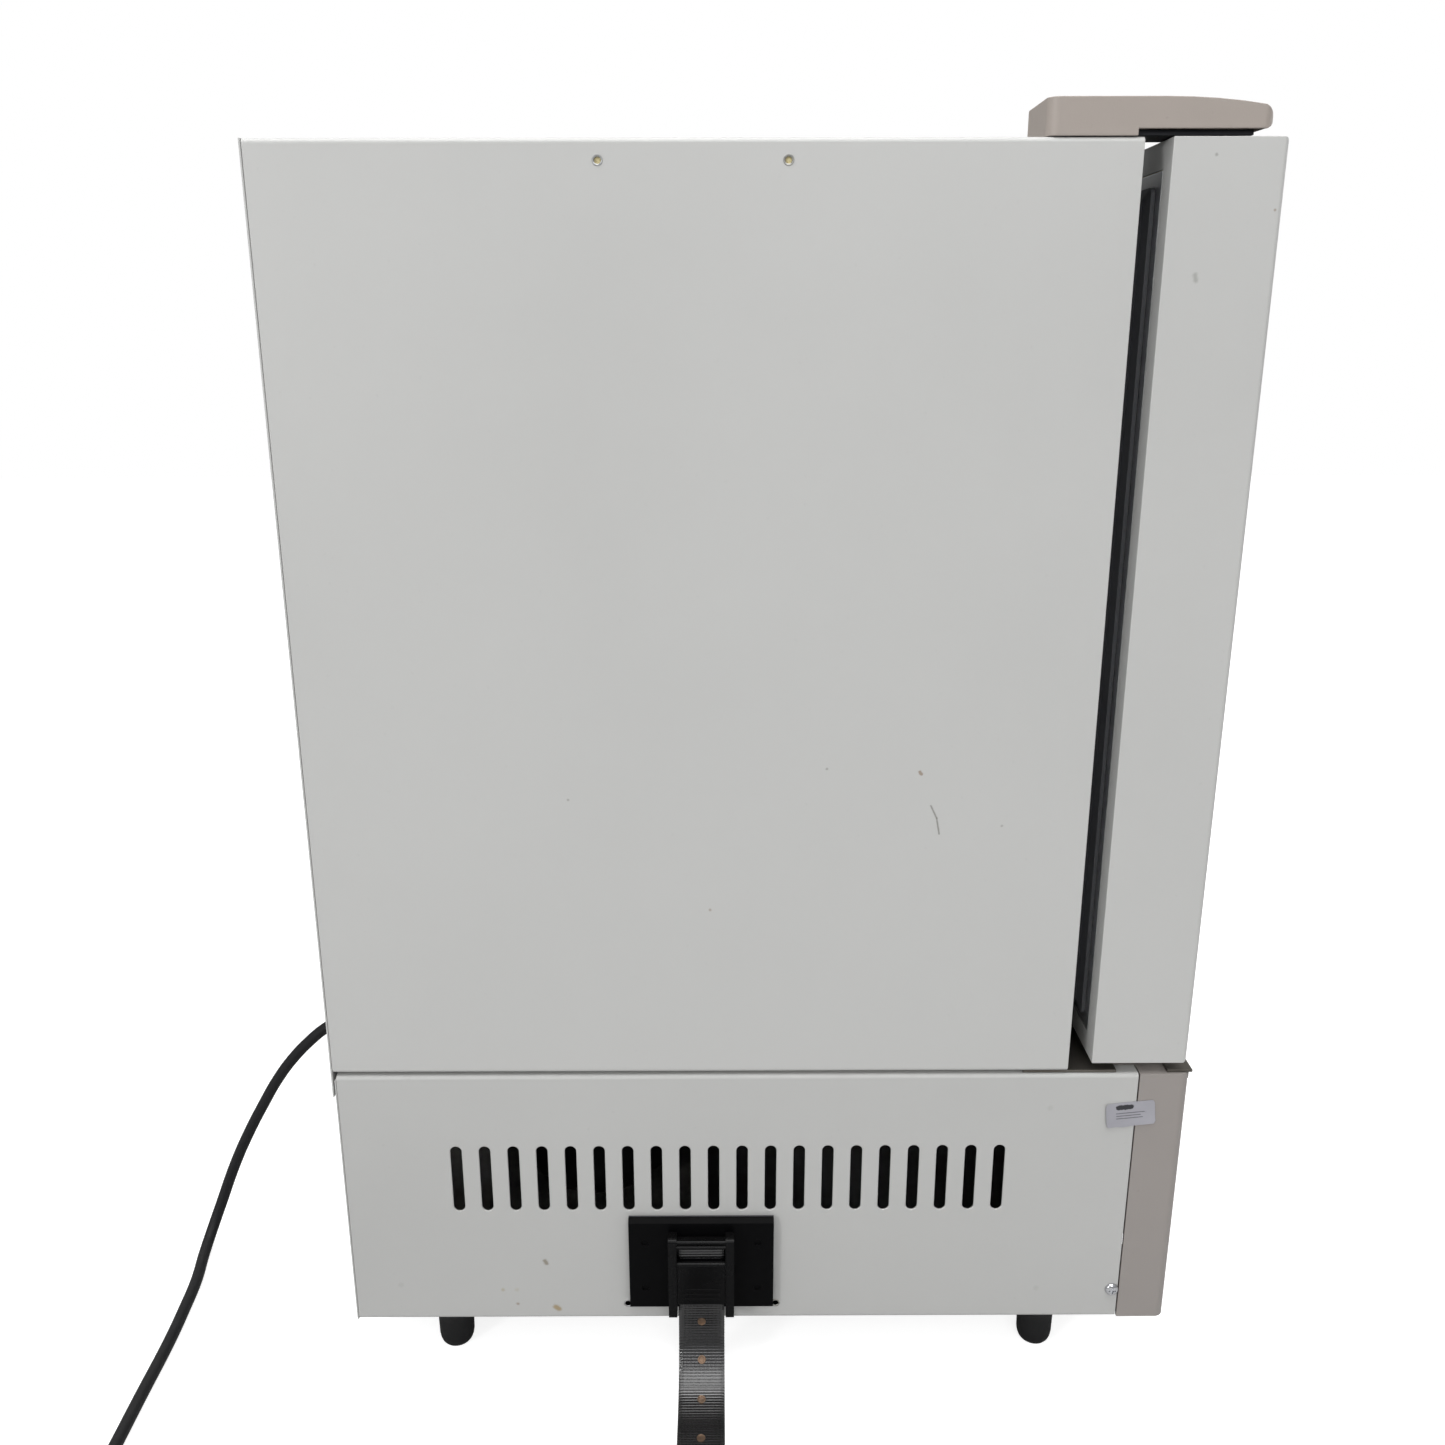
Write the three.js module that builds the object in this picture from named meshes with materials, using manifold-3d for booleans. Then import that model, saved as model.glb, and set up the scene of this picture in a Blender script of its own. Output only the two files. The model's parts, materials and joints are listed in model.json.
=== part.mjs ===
// Benchtop cooled laboratory incubator: insulated cabinet with a side-hinged door, standing on a
// lower compartment that holds the refrigeration unit and the controls.
// Millimetres, +Z up, front towards -Y, hinge side towards -X. The origin lies on the floor, under
// the middle of the machine. Touching pieces keep a gap of about 0.3 mm.
import * as THREE from 'three';
import { mergeVertices } from 'three/addons/utils/BufferGeometryUtils.js';
import Module from 'manifold-3d';

const wasm = await Module();
wasm.setup();

// ---- Driving dimensions: overall ----
const width = 580;
const cabinetDepth = 505;
const cabinetHeight = 589.7;
const lowerHeight = 200.3;
const footHeight = 39;
const seam = 2.5; // open joint between the lower compartment and the cabinet
const doorThickness = 65;
const doorGap = 16; // cabinet front to door back, filled by the gasket
const doorLift = 8.5; // lower compartment top to door bottom
const coverProud = 4; // front cover ahead of the door
const lowerRearSetback = 2;

// ---- Clearances and sheets ----
const fit = 0.3;
const sheet = 1.2;
const linerSheet = 1;
const bend = 3; // outside bend radius of the sheet work
const holeSides = 12;

// ---- Chamber ----
const chamberWidth = 480;
const chamberHeight = 490;
const wallInsulation = 54; // liner back to rear panel
const ductDepth = 50;
const shelfCount = 2;
const shelfDepth = 340;
const shelfWire = 5;
const ledge = 12; // width of the shelf ledges
const shelfPitch = 150;

// ---- Door ----
const doorLip = 15.6; // folded edge of the door shell, seen from behind
const pinInset = 20; // hinge pin from the cabinet side
const pinSetback = 36; // hinge pin ahead of the door's back face
const pinRadius = 5;
const bushWall = 2.5;
const bushDepth = 14;
const runningClearance = 0.3;
const plugMargin = 9; // liner plug to chamber wall
const plugReach = 10; // liner plug past the cabinet front
const gasketWidth = 24;

// ---- Hinge cover and plates ----
const capWidth = 56;
const capRear = 55; // behind the cabinet front
const capFront = 72; // ahead of the cabinet front
const capHeight = 20.5;
const capWall = 2.2;
const capLift = 4; // front part of the cover above the door
const hingePlate = 3;
const lowerPlate = 1.9;

// ---- Lower compartment ----
const coverReturn = 34.8; // front cover's side wing
const coverWall = 2.5;
const slotCount = 20;
const slotPitch = 20;
const slotWidth = 8;
const slotHeight = 52.5;
const slotBottom = 92; // above the compartment's bottom
const slotCentreY = 23;
const rearOverlap = 18.5; // upper rear panel below the seam
const fixingSpacing = 107; // blind rivet nuts in the sides
const fixingCentreY = 42;
const footInset = 26;
const footFrontInset = 87; // from the front
const footRearInset = 68; // from the rear
const footTop = 16.5;
const footBottom = 11;

// ---- Strap anchor ----
const anchorCentreY = 42;
const anchorWidth = 103;
const anchorHeight = 73;
const anchorBottom = 15; // above the compartment's bottom
const padThickness = 1;
const anchorPlate = 4.5;
const buckleBase = 2;
const buckleInner = 34.5;
const buckleEar = 6;
const buckleDepth = 10.4; // ears ahead of the anchor plate
const strapWidth = 33;
const strapThickness = 2;

// ---- Cord ----
const cordDiameter = 9;
const coilTurnRadii = [4.5 * cordDiameter, 5.5 * cordDiameter];
const coilLayers = 3;
const leadInY = 438; // where the cord runs into the coil
const coilCentre = new THREE.Vector2(-446, leadInY - coilTurnRadii[1]);

// ---- Derived places ----
const depth = cabinetDepth + doorGap + doorThickness + coverProud;
const rearY = depth / 2;
const cabinetFrontY = rearY - cabinetDepth;
const doorBackY = cabinetFrontY - doorGap;
const doorFrontY = doorBackY - doorThickness;
const frontY = -depth / 2;
const sideX = width / 2;
const lowerRearY = rearY - lowerRearSetback;
const bottomZ = footHeight;
const lowerTopZ = bottomZ + lowerHeight;
const cabinetBottomZ = lowerTopZ + seam;
const topZ = cabinetBottomZ + cabinetHeight;
const doorBottomZ = lowerTopZ + doorLift;
const chamberMidZ = (cabinetBottomZ + topZ) / 2;
const chamberBottomZ = chamberMidZ - chamberHeight / 2;
const chamberTopZ = chamberMidZ + chamberHeight / 2;
const chamberSideX = chamberWidth / 2;
const frameBackY = cabinetFrontY + 3;
const linerBackY = rearY - wallInsulation;
const ductY = linerBackY - ductDepth;
const pinX = -sideX + pinInset;
const pinY = doorBackY - pinSetback;
const insideX = sideX - sheet - fit;
const anchorProud = fit + padThickness + fit + anchorPlate + buckleDepth;
const caseShift = anchorProud / 2;

// ---- Solids ----
function toSolid(geometry) {
  const bare = geometry.clone();
  bare.deleteAttribute('normal');
  bare.deleteAttribute('uv');
  const merged = mergeVertices(bare, 1e-4);
  const triangles = [];
  for (let i = 0; i < merged.index.count; i += 3) {
    const [a, b, c] = [0, 1, 2].map((k) => merged.index.getX(i + k));
    if (a !== b && b !== c && c !== a) {
      triangles.push(a, b, c);
    }
  }
  return new wasm.Manifold(new wasm.Mesh({
    numProp: 3,
    vertProperties: new Float32Array(merged.attributes.position.array),
    triVerts: new Uint32Array(triangles),
  }));
}

function toGeometry(solid) {
  const mesh = solid.getMesh();
  const geometry = new THREE.BufferGeometry();
  geometry.setAttribute('position', new THREE.BufferAttribute(mesh.vertProperties, 3));
  geometry.setIndex(new THREE.BufferAttribute(mesh.triVerts, 1));
  return geometry;
}

function block([x0, x1], [y0, y1], [z0, z1]) {
  const geometry = new THREE.BoxGeometry(x1 - x0, y1 - y0, z1 - z0);
  geometry.translate((x0 + x1) / 2, (y0 + y1) / 2, (z0 + z1) / 2);
  return toSolid(geometry);
}

// A plane outline pushed along an axis. Its two coordinates are y, z for the x axis, x, z for the
// y axis and x, y for the z axis.
function prism(shape, axis, from, to, curveSegments = 5) {
  const geometry = new THREE.ExtrudeGeometry(shape, {
    depth: to - from, bevelEnabled: false, curveSegments,
  });
  if (axis === 'x') {
    geometry.applyMatrix4(new THREE.Matrix4().set(0, 0, 1, from, 1, 0, 0, 0, 0, 1, 0, 0, 0, 0, 0, 1));
  } else if (axis === 'y') {
    geometry.applyMatrix4(new THREE.Matrix4().set(1, 0, 0, 0, 0, 0, -1, to, 0, 1, 0, 0, 0, 0, 0, 1));
  } else {
    geometry.translate(0, 0, from);
  }
  return toSolid(geometry);
}

function rod(axis, radius, from, to, u, v, sides = holeSides) {
  const shape = new THREE.Shape();
  for (let i = 0; i < sides; i += 1) {
    const angle = (2 * Math.PI * (i + 0.5)) / sides;
    shape[i ? 'lineTo' : 'moveTo'](u + radius * Math.cos(angle), v + radius * Math.sin(angle));
  }
  return prism(shape, axis, from, to);
}

function roundedRect(x0, x1, y0, y1, radius) {
  const shape = new THREE.Shape();
  shape.moveTo(x0 + radius, y0);
  shape.lineTo(x1 - radius, y0);
  shape.absarc(x1 - radius, y0 + radius, radius, -Math.PI / 2, 0);
  shape.lineTo(x1, y1 - radius);
  shape.absarc(x1 - radius, y1 - radius, radius, 0, Math.PI / 2);
  shape.lineTo(x0 + radius, y1);
  shape.absarc(x0 + radius, y1 - radius, radius, Math.PI / 2, Math.PI);
  shape.lineTo(x0, y0 + radius);
  shape.absarc(x0 + radius, y0 + radius, radius, Math.PI, Math.PI * 1.5);
  return shape;
}

function tube(points, radius, sides, steps, curve = new THREE.CatmullRomCurve3(points)) {
  const section = new THREE.Shape();
  for (let i = 0; i < sides; i += 1) {
    const angle = (2 * Math.PI * i) / sides;
    section[i ? 'lineTo' : 'moveTo'](radius * Math.cos(angle), radius * Math.sin(angle));
  }
  return toSolid(new THREE.ExtrudeGeometry(section, { steps, extrudePath: curve, bevelEnabled: false }));
}

// A turned piece standing on +Z, from [radius, height] pairs that start and end on the axis.
function turned(profile, sides) {
  const points = profile.map(([r, z]) => new THREE.Vector2(r, z));
  const geometry = new THREE.LatheGeometry(points, sides);
  geometry.rotateX(Math.PI / 2);
  return toSolid(geometry);
}

function union(solids) {
  return solids.reduce((sum, next) => sum.add(next));
}

const vector = (x, y, z) => new THREE.Vector3(x, y, z);

// ---- Materials ----
function finish(color, roughness, metalness) {
  return new THREE.MeshStandardMaterial({ color, roughness, metalness, flatShading: true });
}

const material = {
  white: finish(0xc9c8c8, 0.45, 0),
  beige: finish(0x938e8b, 0.5, 0),
  cap: finish(0xa79f97, 0.5, 0),
  stainless: finish(0xb9bcbf, 0.3, 1),
  zinc: finish(0x9fa3a6, 0.4, 1),
  darkSteel: finish(0x2b2c2e, 0.5, 0.8),
  foam: finish(0xd8cf9c, 0.9, 0),
  rubber: finish(0x17171a, 0.8, 0),
  gasket: finish(0x3c3d40, 0.7, 0),
  black: finish(0x0d0d0f, 0.35, 0),
  nylon: finish(0xe6e3da, 0.5, 0),
  copper: finish(0xb87345, 0.35, 1),
  aluminium: finish(0xc4c7ca, 0.4, 1),
  board: finish(0x1f6b46, 0.5, 0),
  lens: finish(0x1a1112, 0.1, 0),
  key: finish(0xdedbd4, 0.5, 0),
  strap: finish(0x131315, 0.7, 0),
};

// The machine is shifted sideways by half of what the strap anchor stands proud, so the origin is
// under the middle of the whole. Cord and strap are placed directly in the object's frame.
const model = new THREE.Group();
const machine = new THREE.Group();
machine.position.x = caseShift;
model.add(machine);

function add(name, solid, finishOf, parent = machine) {
  const mesh = new THREE.Mesh(toGeometry(solid), finishOf);
  mesh.name = name;
  parent.add(mesh);
}

// ---- Openings shared by several pieces ----
const chaseX = [-60, 20]; // pipes between the chamber and the refrigeration unit
const chaseY = [linerBackY + 14, linerBackY + 42];
const suctionX = -30;
const capillaryX = -5;
const pipeY = (chaseY[0] + chaseY[1]) / 2;
const coilBottomZ = chamberBottomZ + 20;
const pipeZ = coilBottomZ + 30;
const suctionRadius = 4.75;
const capillaryRadius = 1.6;

function sideFixings(z, radius) {
  const ends = [-sideX - 1, sideX + 1];
  return union([-1, 1].map((s) => rod('x', radius, ...ends, fixingCentreY + (s * fixingSpacing) / 2, z)));
}

// ---- Cabinet ----
function cabinetShell() {
  const outer = roundedRect(-sideX, sideX, cabinetBottomZ, topZ, bend);
  const inner = roundedRect(
    -sideX + sheet, sideX - sheet, cabinetBottomZ + sheet, topZ - sheet, bend - sheet,
  );
  outer.holes.push(inner);
  const backEnd = rearY - sheet - fit;
  const sleeve = prism(outer, 'y', cabinetFrontY, backEnd, 3);
  const pipeHole = block(chaseX, chaseY, [cabinetBottomZ - 1, cabinetBottomZ + 3]);
  return sleeve.subtract(pipeHole).subtract(sideFixings(topZ - 12, 2.3));
}

function frontFrame() {
  const plate = roundedRect(
    -insideX, insideX, cabinetBottomZ + sheet + fit, topZ - sheet - fit, bend - sheet,
  );
  plate.holes.push(roundedRect(-chamberSideX, chamberSideX, chamberBottomZ, chamberTopZ, 4));
  return prism(plate, 'y', cabinetFrontY, frameBackY, 2);
}

function linerBlock(grow, front, back) {
  return block(
    [-chamberSideX - grow, chamberSideX + grow],
    [front, back],
    [chamberBottomZ - grow, chamberTopZ + grow],
  );
}

function chamberLiner() {
  const outer = linerBlock(linerSheet, frameBackY + fit, linerBackY + linerSheet);
  const inner = linerBlock(0, frameBackY - 1, linerBackY);
  const through = [linerBackY - 1, linerBackY + 2];
  const suctionHole = rod('y', suctionRadius + 2, ...through, suctionX, pipeZ);
  const capillaryHole = rod('y', capillaryRadius + 2, ...through, capillaryX, pipeZ);
  return outer.subtract(inner).subtract(suctionHole).subtract(capillaryHole);
}

function insulation() {
  const section = roundedRect(
    -insideX, insideX, cabinetBottomZ + sheet + fit, topZ - sheet - fit, bend - sheet,
  );
  const outer = prism(section, 'y', frameBackY + fit, rearY - sheet - fit, 3);
  const cavity = linerBlock(linerSheet + fit, frameBackY - 1, linerBackY + linerSheet + fit);
  const chase = block(chaseX, [linerBackY, chaseY[1]], [cabinetBottomZ, pipeZ + 16]);
  return outer.subtract(cavity).subtract(chase);
}

add('cabinet_shell', cabinetShell(), material.white);
add('upper_rear_panel', block(
  [-sideX, sideX],
  [rearY - sheet, rearY],
  [lowerTopZ - rearOverlap + seam, topZ],
), material.white);
add('cabinet_front_frame', frontFrame(), material.white);
add('chamber_liner', chamberLiner(), material.stainless);
add('insulation_foam', insulation(), material.foam);

// ---- Air duct, heater, coil and circulation fan at the back of the chamber ----
const fanZ = chamberMidZ + 60;
const fanRadius = 70;
const motorRadius = 34;
const motorLength = 24;
const shaftRadius = 4;

function ductPanel() {
  const margin = 1.5;
  const plate = block(
    [-chamberSideX + margin, chamberSideX - margin],
    [ductY, ductY + sheet],
    [chamberBottomZ + margin, chamberTopZ - margin],
  );
  const cut = [ductY - 1, ductY + sheet + 1];
  const slots = [];
  const slotLength = chamberSideX - 90;
  [chamberTopZ - 35, chamberBottomZ + 25].forEach((z) => {
    [-1, 1].forEach((s) => {
      const x = (s * (slotLength + 40)) / 2;
      slots.push(block([x - slotLength / 2, x + slotLength / 2], cut, [z, z + 10]));
    });
  });
  const grilleBars = 9;
  for (let i = 0; i < grilleBars; i += 1) {
    const rise = (i - (grilleBars - 1) / 2) * 14;
    const half = Math.sqrt(fanRadius ** 2 - rise ** 2) - 6;
    slots.push(block([-half, half], cut, [fanZ + rise - 3.5, fanZ + rise + 3.5]));
  }
  return plate.subtract(union(slots));
}

function fanMotor() {
  const backZone = linerBackY - fit;
  const can = rod('y', motorRadius, backZone - motorLength, backZone, 0, fanZ, 24);
  const shaft = rod('y', shaftRadius, backZone - motorLength - 16, backZone - motorLength, 0, fanZ);
  const ears = block([-50, 50], [backZone - 2, backZone], [fanZ - 8, fanZ + 8]);
  return union([can, shaft, ears]);
}

// An axial fan on the y axis at the origin: a hub with a bore and pitched blades.
function fanRotor(radius, hubRadius, length, blades, boreRadius) {
  const hub = rod('y', hubRadius, 0, length, 0, 0, 24);
  const parts = [hub];
  for (let i = 0; i < blades; i += 1) {
    const geometry = new THREE.BoxGeometry(radius - hubRadius + 4, 1.6, radius * 0.62);
    geometry.rotateX(THREE.MathUtils.degToRad(24));
    geometry.translate((radius + hubRadius - 4) / 2, length / 2, 0);
    geometry.rotateY((2 * Math.PI * i) / blades);
    parts.push(toSolid(geometry));
  }
  const rim = rod('y', radius, -20, length + 20, 0, 0, 32);
  return union(parts).intersect(rim).subtract(rod('y', boreRadius, -1, length + 1, 0, 0));
}

function finnedBlock([x0, x1], [y0, y1], [z0, z1], pitch) {
  const count = Math.floor((x1 - x0) / pitch);
  const shape = new THREE.Shape();
  const core = (y1 - y0) * 0.2;
  const middle = (y0 + y1) / 2;
  shape.moveTo(x0, middle - core);
  for (let i = 0; i < count; i += 1) {
    const x = x0 + (i + 0.25) * pitch;
    shape.lineTo(x, middle - core);
    shape.lineTo(x, y0);
    shape.lineTo(x + pitch / 2, y0);
    shape.lineTo(x + pitch / 2, middle - core);
  }
  shape.lineTo(x1, middle - core);
  shape.lineTo(x1, middle + core);
  for (let i = count - 1; i >= 0; i -= 1) {
    const x = x0 + (i + 0.25) * pitch;
    shape.lineTo(x + pitch / 2, middle + core);
    shape.lineTo(x + pitch / 2, y1);
    shape.lineTo(x, y1);
    shape.lineTo(x, middle + core);
  }
  shape.lineTo(x0, middle + core);
  return prism(shape, 'z', z0, z1);
}

function heaterElement() {
  const ringRadius = fanRadius + 18;
  const y = linerBackY - 16;
  const gapAngle = 0.35;
  const points = [vector(30, y, fanZ - ringRadius - 22)];
  const bends = 16;
  for (let i = 0; i <= bends; i += 1) {
    const angle = -Math.PI / 2 + gapAngle + ((2 * Math.PI - 2 * gapAngle) * i) / bends;
    points.push(vector(ringRadius * Math.cos(angle), y, fanZ + ringRadius * Math.sin(angle)));
  }
  points.push(vector(-30, y, fanZ - ringRadius - 22));
  return tube(points, 4, 6, 34);
}

const evaporatorTopZ = fanZ - fanRadius - 62;
add('air_duct_panel', ductPanel(), material.stainless);
add('circulation_fan_motor', fanMotor(), material.darkSteel);
const rotorLength = 12;
const rotorMidY = (ductY + sheet + linerBackY - fit - motorLength) / 2;
add('circulation_fan', fanRotor(fanRadius - 6, 16, rotorLength, 5, shaftRadius + runningClearance)
  .translate([0, rotorMidY - rotorLength / 2, fanZ]), material.aluminium);
add('heater_element', heaterElement(), material.stainless);
const evaporatorX = [70 - chamberSideX, chamberSideX - 70];
const evaporatorBox = [evaporatorX, [ductY + 6, linerBackY - 6], [coilBottomZ, evaporatorTopZ]];
const coilStub = rod('y', suctionRadius, linerBackY - 12, linerBackY - 1.5, suctionX, pipeZ);
add('evaporator_coil', finnedBlock(...evaporatorBox, 17).add(coilStub), material.aluminium);
add('temperature_probe', union([
  rod('y', 3, ductY - 70, ductY - fit, 120, chamberTopZ - 60),
  rod('y', 8, ductY - 4 - fit, ductY - fit, 120, chamberTopZ - 60),
]), material.stainless);

// ---- Shelf racks and shelves ----
const rackDepth = shelfDepth + 20;
const rackBackY = ductY - 6;
const rackFrontY = rackBackY - rackDepth;
const shelfZ = (i) => chamberBottomZ + 130 + i * shelfPitch;

function shelfRack(side) {
  const wall = chamberSideX - fit;
  const span = ([a, b]) => (side > 0 ? [a, b] : [-b, -a]);
  const sheetPart = block(
    span([wall - 1.5, wall]),
    [rackFrontY, rackBackY],
    [chamberBottomZ + 60, shelfZ(shelfCount - 1) + 60],
  );
  const ledges = [];
  for (let i = 0; i < shelfCount; i += 1) {
    ledges.push(block(
      span([wall - ledge, wall - 1]),
      [rackFrontY, rackBackY],
      [shelfZ(i) - 2, shelfZ(i)],
    ));
  }
  return union([sheetPart, ...ledges]);
}

function shelf(i) {
  const half = chamberSideX - 4;
  const r = shelfWire / 2;
  const z = shelfZ(i) + fit + r;
  const y0 = rackBackY - shelfDepth - 2;
  const y1 = rackBackY - 2;
  const frame = roundedRect(-half, half, y0, y1, 12);
  frame.holes.push(roundedRect(-half + shelfWire, half - shelfWire, y0 + shelfWire, y1 - shelfWire, 7));
  const parts = [prism(frame, 'z', z - r, z + r, 2)];
  const wires = 15;
  for (let k = 0; k < wires; k += 1) {
    const x = -half + ((2 * half) * (k + 1)) / (wires + 1);
    parts.push(rod('y', 1.8, y0 + 2, y1 - 2, x, z, 4));
  }
  parts.push(rod('x', 2.2, -half + 2, half - 2, (y0 + y1) / 2, z, 4));
  return union(parts);
}

[['left', -1], ['right', 1]].forEach(([name, side]) => {
  add(`shelf_rack_${name}`, shelfRack(side), material.stainless);
});
for (let i = 0; i < shelfCount; i += 1) {
  add(`shelf_${i + 1}`, shelf(i), material.stainless);
}

// ---- Door ----
const plugX = chamberSideX - plugMargin;
const plugBottomZ = chamberBottomZ + plugMargin;
const plugTopZ = chamberTopZ - plugMargin;
const plugFaceY = cabinetFrontY + plugReach;
const gripZ = (doorBottomZ + topZ) / 2;
const gripHalf = 70;
const gripDepth = 26;
const gripY = [doorFrontY + 18, doorBackY - 14];
const bushRadius = pinRadius + runningClearance + bushWall;
const lipX = sideX - doorLip;

function bushSeat(z, grow) {
  return rod('z', bushRadius + grow, z - bushDepth - grow, z + bushDepth + grow, pinX, pinY, 20);
}

function gripCut(grow) {
  return block(
    [sideX - gripDepth - grow, sideX + 1],
    [gripY[0] - grow, gripY[1] + grow],
    [gripZ - gripHalf - grow, gripZ + gripHalf + grow],
  );
}

function doorShell() {
  const outer = prism(
    roundedRect(-sideX, sideX, doorFrontY, doorBackY + 2 * bend, bend), 'z', doorBottomZ, topZ, 4,
  ).intersect(prism(
    roundedRect(doorFrontY, doorBackY + 2 * bend, doorBottomZ, topZ, bend), 'x', -sideX, sideX, 4,
  )).intersect(block([-sideX, sideX], [doorFrontY, doorBackY], [doorBottomZ, topZ]));
  const inner = block(
    [-sideX + sheet, sideX - sheet],
    [doorFrontY + sheet, doorBackY - sheet],
    [doorBottomZ + sheet, topZ - sheet],
  );
  const back = block(
    [-lipX, lipX],
    [doorBackY - sheet - 1, doorBackY + 1],
    [doorBottomZ + doorLip, topZ - doorLip],
  );
  return outer.subtract(inner).subtract(back).subtract(gripCut(fit))
    .subtract(bushSeat(doorBottomZ, fit)).subtract(bushSeat(topZ, fit));
}

function doorLiner() {
  const flange = block(
    [-lipX + fit, lipX - fit],
    [doorBackY - sheet, doorBackY],
    [doorBottomZ + doorLip + fit, topZ - doorLip - fit],
  );
  const plug = block([-plugX, plugX], [doorBackY - sheet, plugFaceY], [plugBottomZ, plugTopZ]);
  const hollow = block(
    [-plugX + sheet, plugX - sheet],
    [doorBackY - sheet - 1, plugFaceY - sheet],
    [plugBottomZ + sheet, plugTopZ - sheet],
  );
  return flange.add(plug).subtract(hollow);
}

function doorFoam() {
  const gapFromShell = sheet + fit;
  const slab = block(
    [-sideX + gapFromShell, sideX - gapFromShell],
    [doorFrontY + gapFromShell, doorBackY - sheet - fit],
    [doorBottomZ + gapFromShell, topZ - gapFromShell],
  );
  const inPlug = block(
    [-plugX + gapFromShell, plugX - gapFromShell],
    [doorBackY - sheet - 1, plugFaceY - sheet - fit],
    [plugBottomZ + gapFromShell, plugTopZ - gapFromShell],
  );
  return slab.add(inPlug).subtract(gripCut(2 + 2 * fit))
    .subtract(bushSeat(doorBottomZ, 2 * fit)).subtract(bushSeat(topZ, 2 * fit));
}

function doorGasket() {
  const outerX = sideX - pinInset;
  const zLow = doorBottomZ + pinInset;
  const zHigh = topZ - pinInset;
  const ring = (inset, y0, y1) => {
    const shape = roundedRect(-outerX + inset, outerX - inset, zLow + inset, zHigh - inset, 3);
    const end = gasketWidth - inset;
    shape.holes.push(roundedRect(-outerX + end, outerX - end, zLow + end, zHigh - end, 1.5));
    return prism(shape, 'y', y0, y1, 2);
  };
  const foot = ring(4, doorBackY + fit, doorBackY + 5);
  const neck = ring(8, doorBackY + 4, cabinetFrontY - 5);
  const magnet = ring(0, cabinetFrontY - 6, cabinetFrontY - fit);
  return union([foot, neck, magnet]);
}

function doorGrip() {
  const cup = block(
    [sideX - gripDepth + fit, sideX - fit],
    [gripY[0] + fit, gripY[1] - fit],
    [gripZ - gripHalf + fit, gripZ + gripHalf - fit],
  );
  const pocket = block(
    [sideX - gripDepth + 2, sideX],
    [gripY[0] + 2, gripY[1] - 2],
    [gripZ - gripHalf + 2, gripZ + gripHalf - 2],
  );
  return cup.subtract(pocket);
}

function doorBush(z, outward) {
  const from = outward > 0 ? z - bushDepth : z - fit;
  const to = outward > 0 ? z + fit : z + bushDepth;
  const sleeve = rod('z', bushRadius, from, to, pinX, pinY, 20);
  return sleeve.subtract(rod('z', pinRadius + runningClearance, from - 1, to + 1, pinX, pinY, 20));
}

add('door_shell', doorShell(), material.white);
add('door_liner', doorLiner(), material.stainless);
add('door_foam', doorFoam(), material.foam);
add('door_gasket', doorGasket(), material.gasket);
add('door_grip', doorGrip(), material.cap);
add('door_bush_top', doorBush(topZ, 1), material.nylon);
add('door_bush_bottom', doorBush(doorBottomZ, -1), material.nylon);

// ---- Hinge hardware ----
const capX = [-sideX, -sideX + capWidth];
const bracketX = [-sideX + 5, -sideX + 33];

function topBracket() {
  const z0 = topZ + 1;
  const arm = block([bracketX[0], bracketX[1]], [pinY - 10, cabinetFrontY + 44], [z0, z0 + hingePlate]);
  const pin = rod('z', pinRadius, topZ - bushDepth + 2, z0 + 1, pinX, pinY, 20);
  return union([arm, pin]);
}

// Side view of the cover: its back and top outline, rounded nose, and the step over the cabinet.
function coverOutline(inset) {
  const front = cabinetFrontY - capFront + inset;
  const rear = cabinetFrontY + capRear - inset;
  const top = topZ + capHeight - inset;
  const nose = 6 - inset;
  const noseTop = top - 6.5;
  const under = inset ? topZ - 5 : topZ + capLift;
  const shape = new THREE.Shape();
  shape.moveTo(rear, topZ + (inset ? -5 : fit));
  shape.lineTo(rear, top);
  shape.lineTo(cabinetFrontY - 10, top);
  shape.quadraticCurveTo(cabinetFrontY - 40, top, front + nose, noseTop + nose * 0.4);
  shape.quadraticCurveTo(front, noseTop, front, noseTop - nose);
  shape.lineTo(front, under + (inset ? 0 : 3));
  shape.lineTo(front + (inset ? 1 : 4), under);
  shape.lineTo(cabinetFrontY + 4 - inset, under);
  shape.lineTo(cabinetFrontY + 4 - inset, topZ + (inset ? -5 : fit));
  return shape;
}

function topCover() {
  const round = 7;
  const plan = roundedRect(capX[0], capX[1], cabinetFrontY - capFront, cabinetFrontY + capRear, round);
  const outer = prism(coverOutline(0), 'x', ...capX, 4)
    .intersect(prism(plan, 'z', topZ - 1, topZ + capHeight + 1, 4));
  const inner = prism(coverOutline(capWall), 'x', capX[0] + capWall, capX[1] - capWall, 4);
  return outer.subtract(inner);
}

function lowerHingePlate() {
  const z0 = lowerTopZ + fit;
  const top = z0 + lowerPlate;
  const noseY = frontY - fit;
  const rearEnd = cabinetFrontY + 30;
  const notchX = -sideX + 14;
  const notchY = [doorFrontY + 12, cabinetFrontY - 34];
  const leaf = block([-sideX + 2, -sideX + 60], [noseY - 1.2, rearEnd], [z0, top]);
  const tab = block([-sideX + 8, -sideX + 54], [noseY - 1.2, noseY], [lowerTopZ - 8, z0 + 0.5]);
  const notch = block([-sideX, notchX], notchY, [z0 - 1, top + 1]);
  const pin = rod('z', pinRadius, top - 0.5, doorBottomZ + bushDepth - 2, pinX, pinY, 20);
  const washer = rod('z', 9, top - 0.5, doorBottomZ - 2 * fit, pinX, pinY, 20);
  return leaf.add(tab).subtract(notch).add(pin).add(washer);
}

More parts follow.
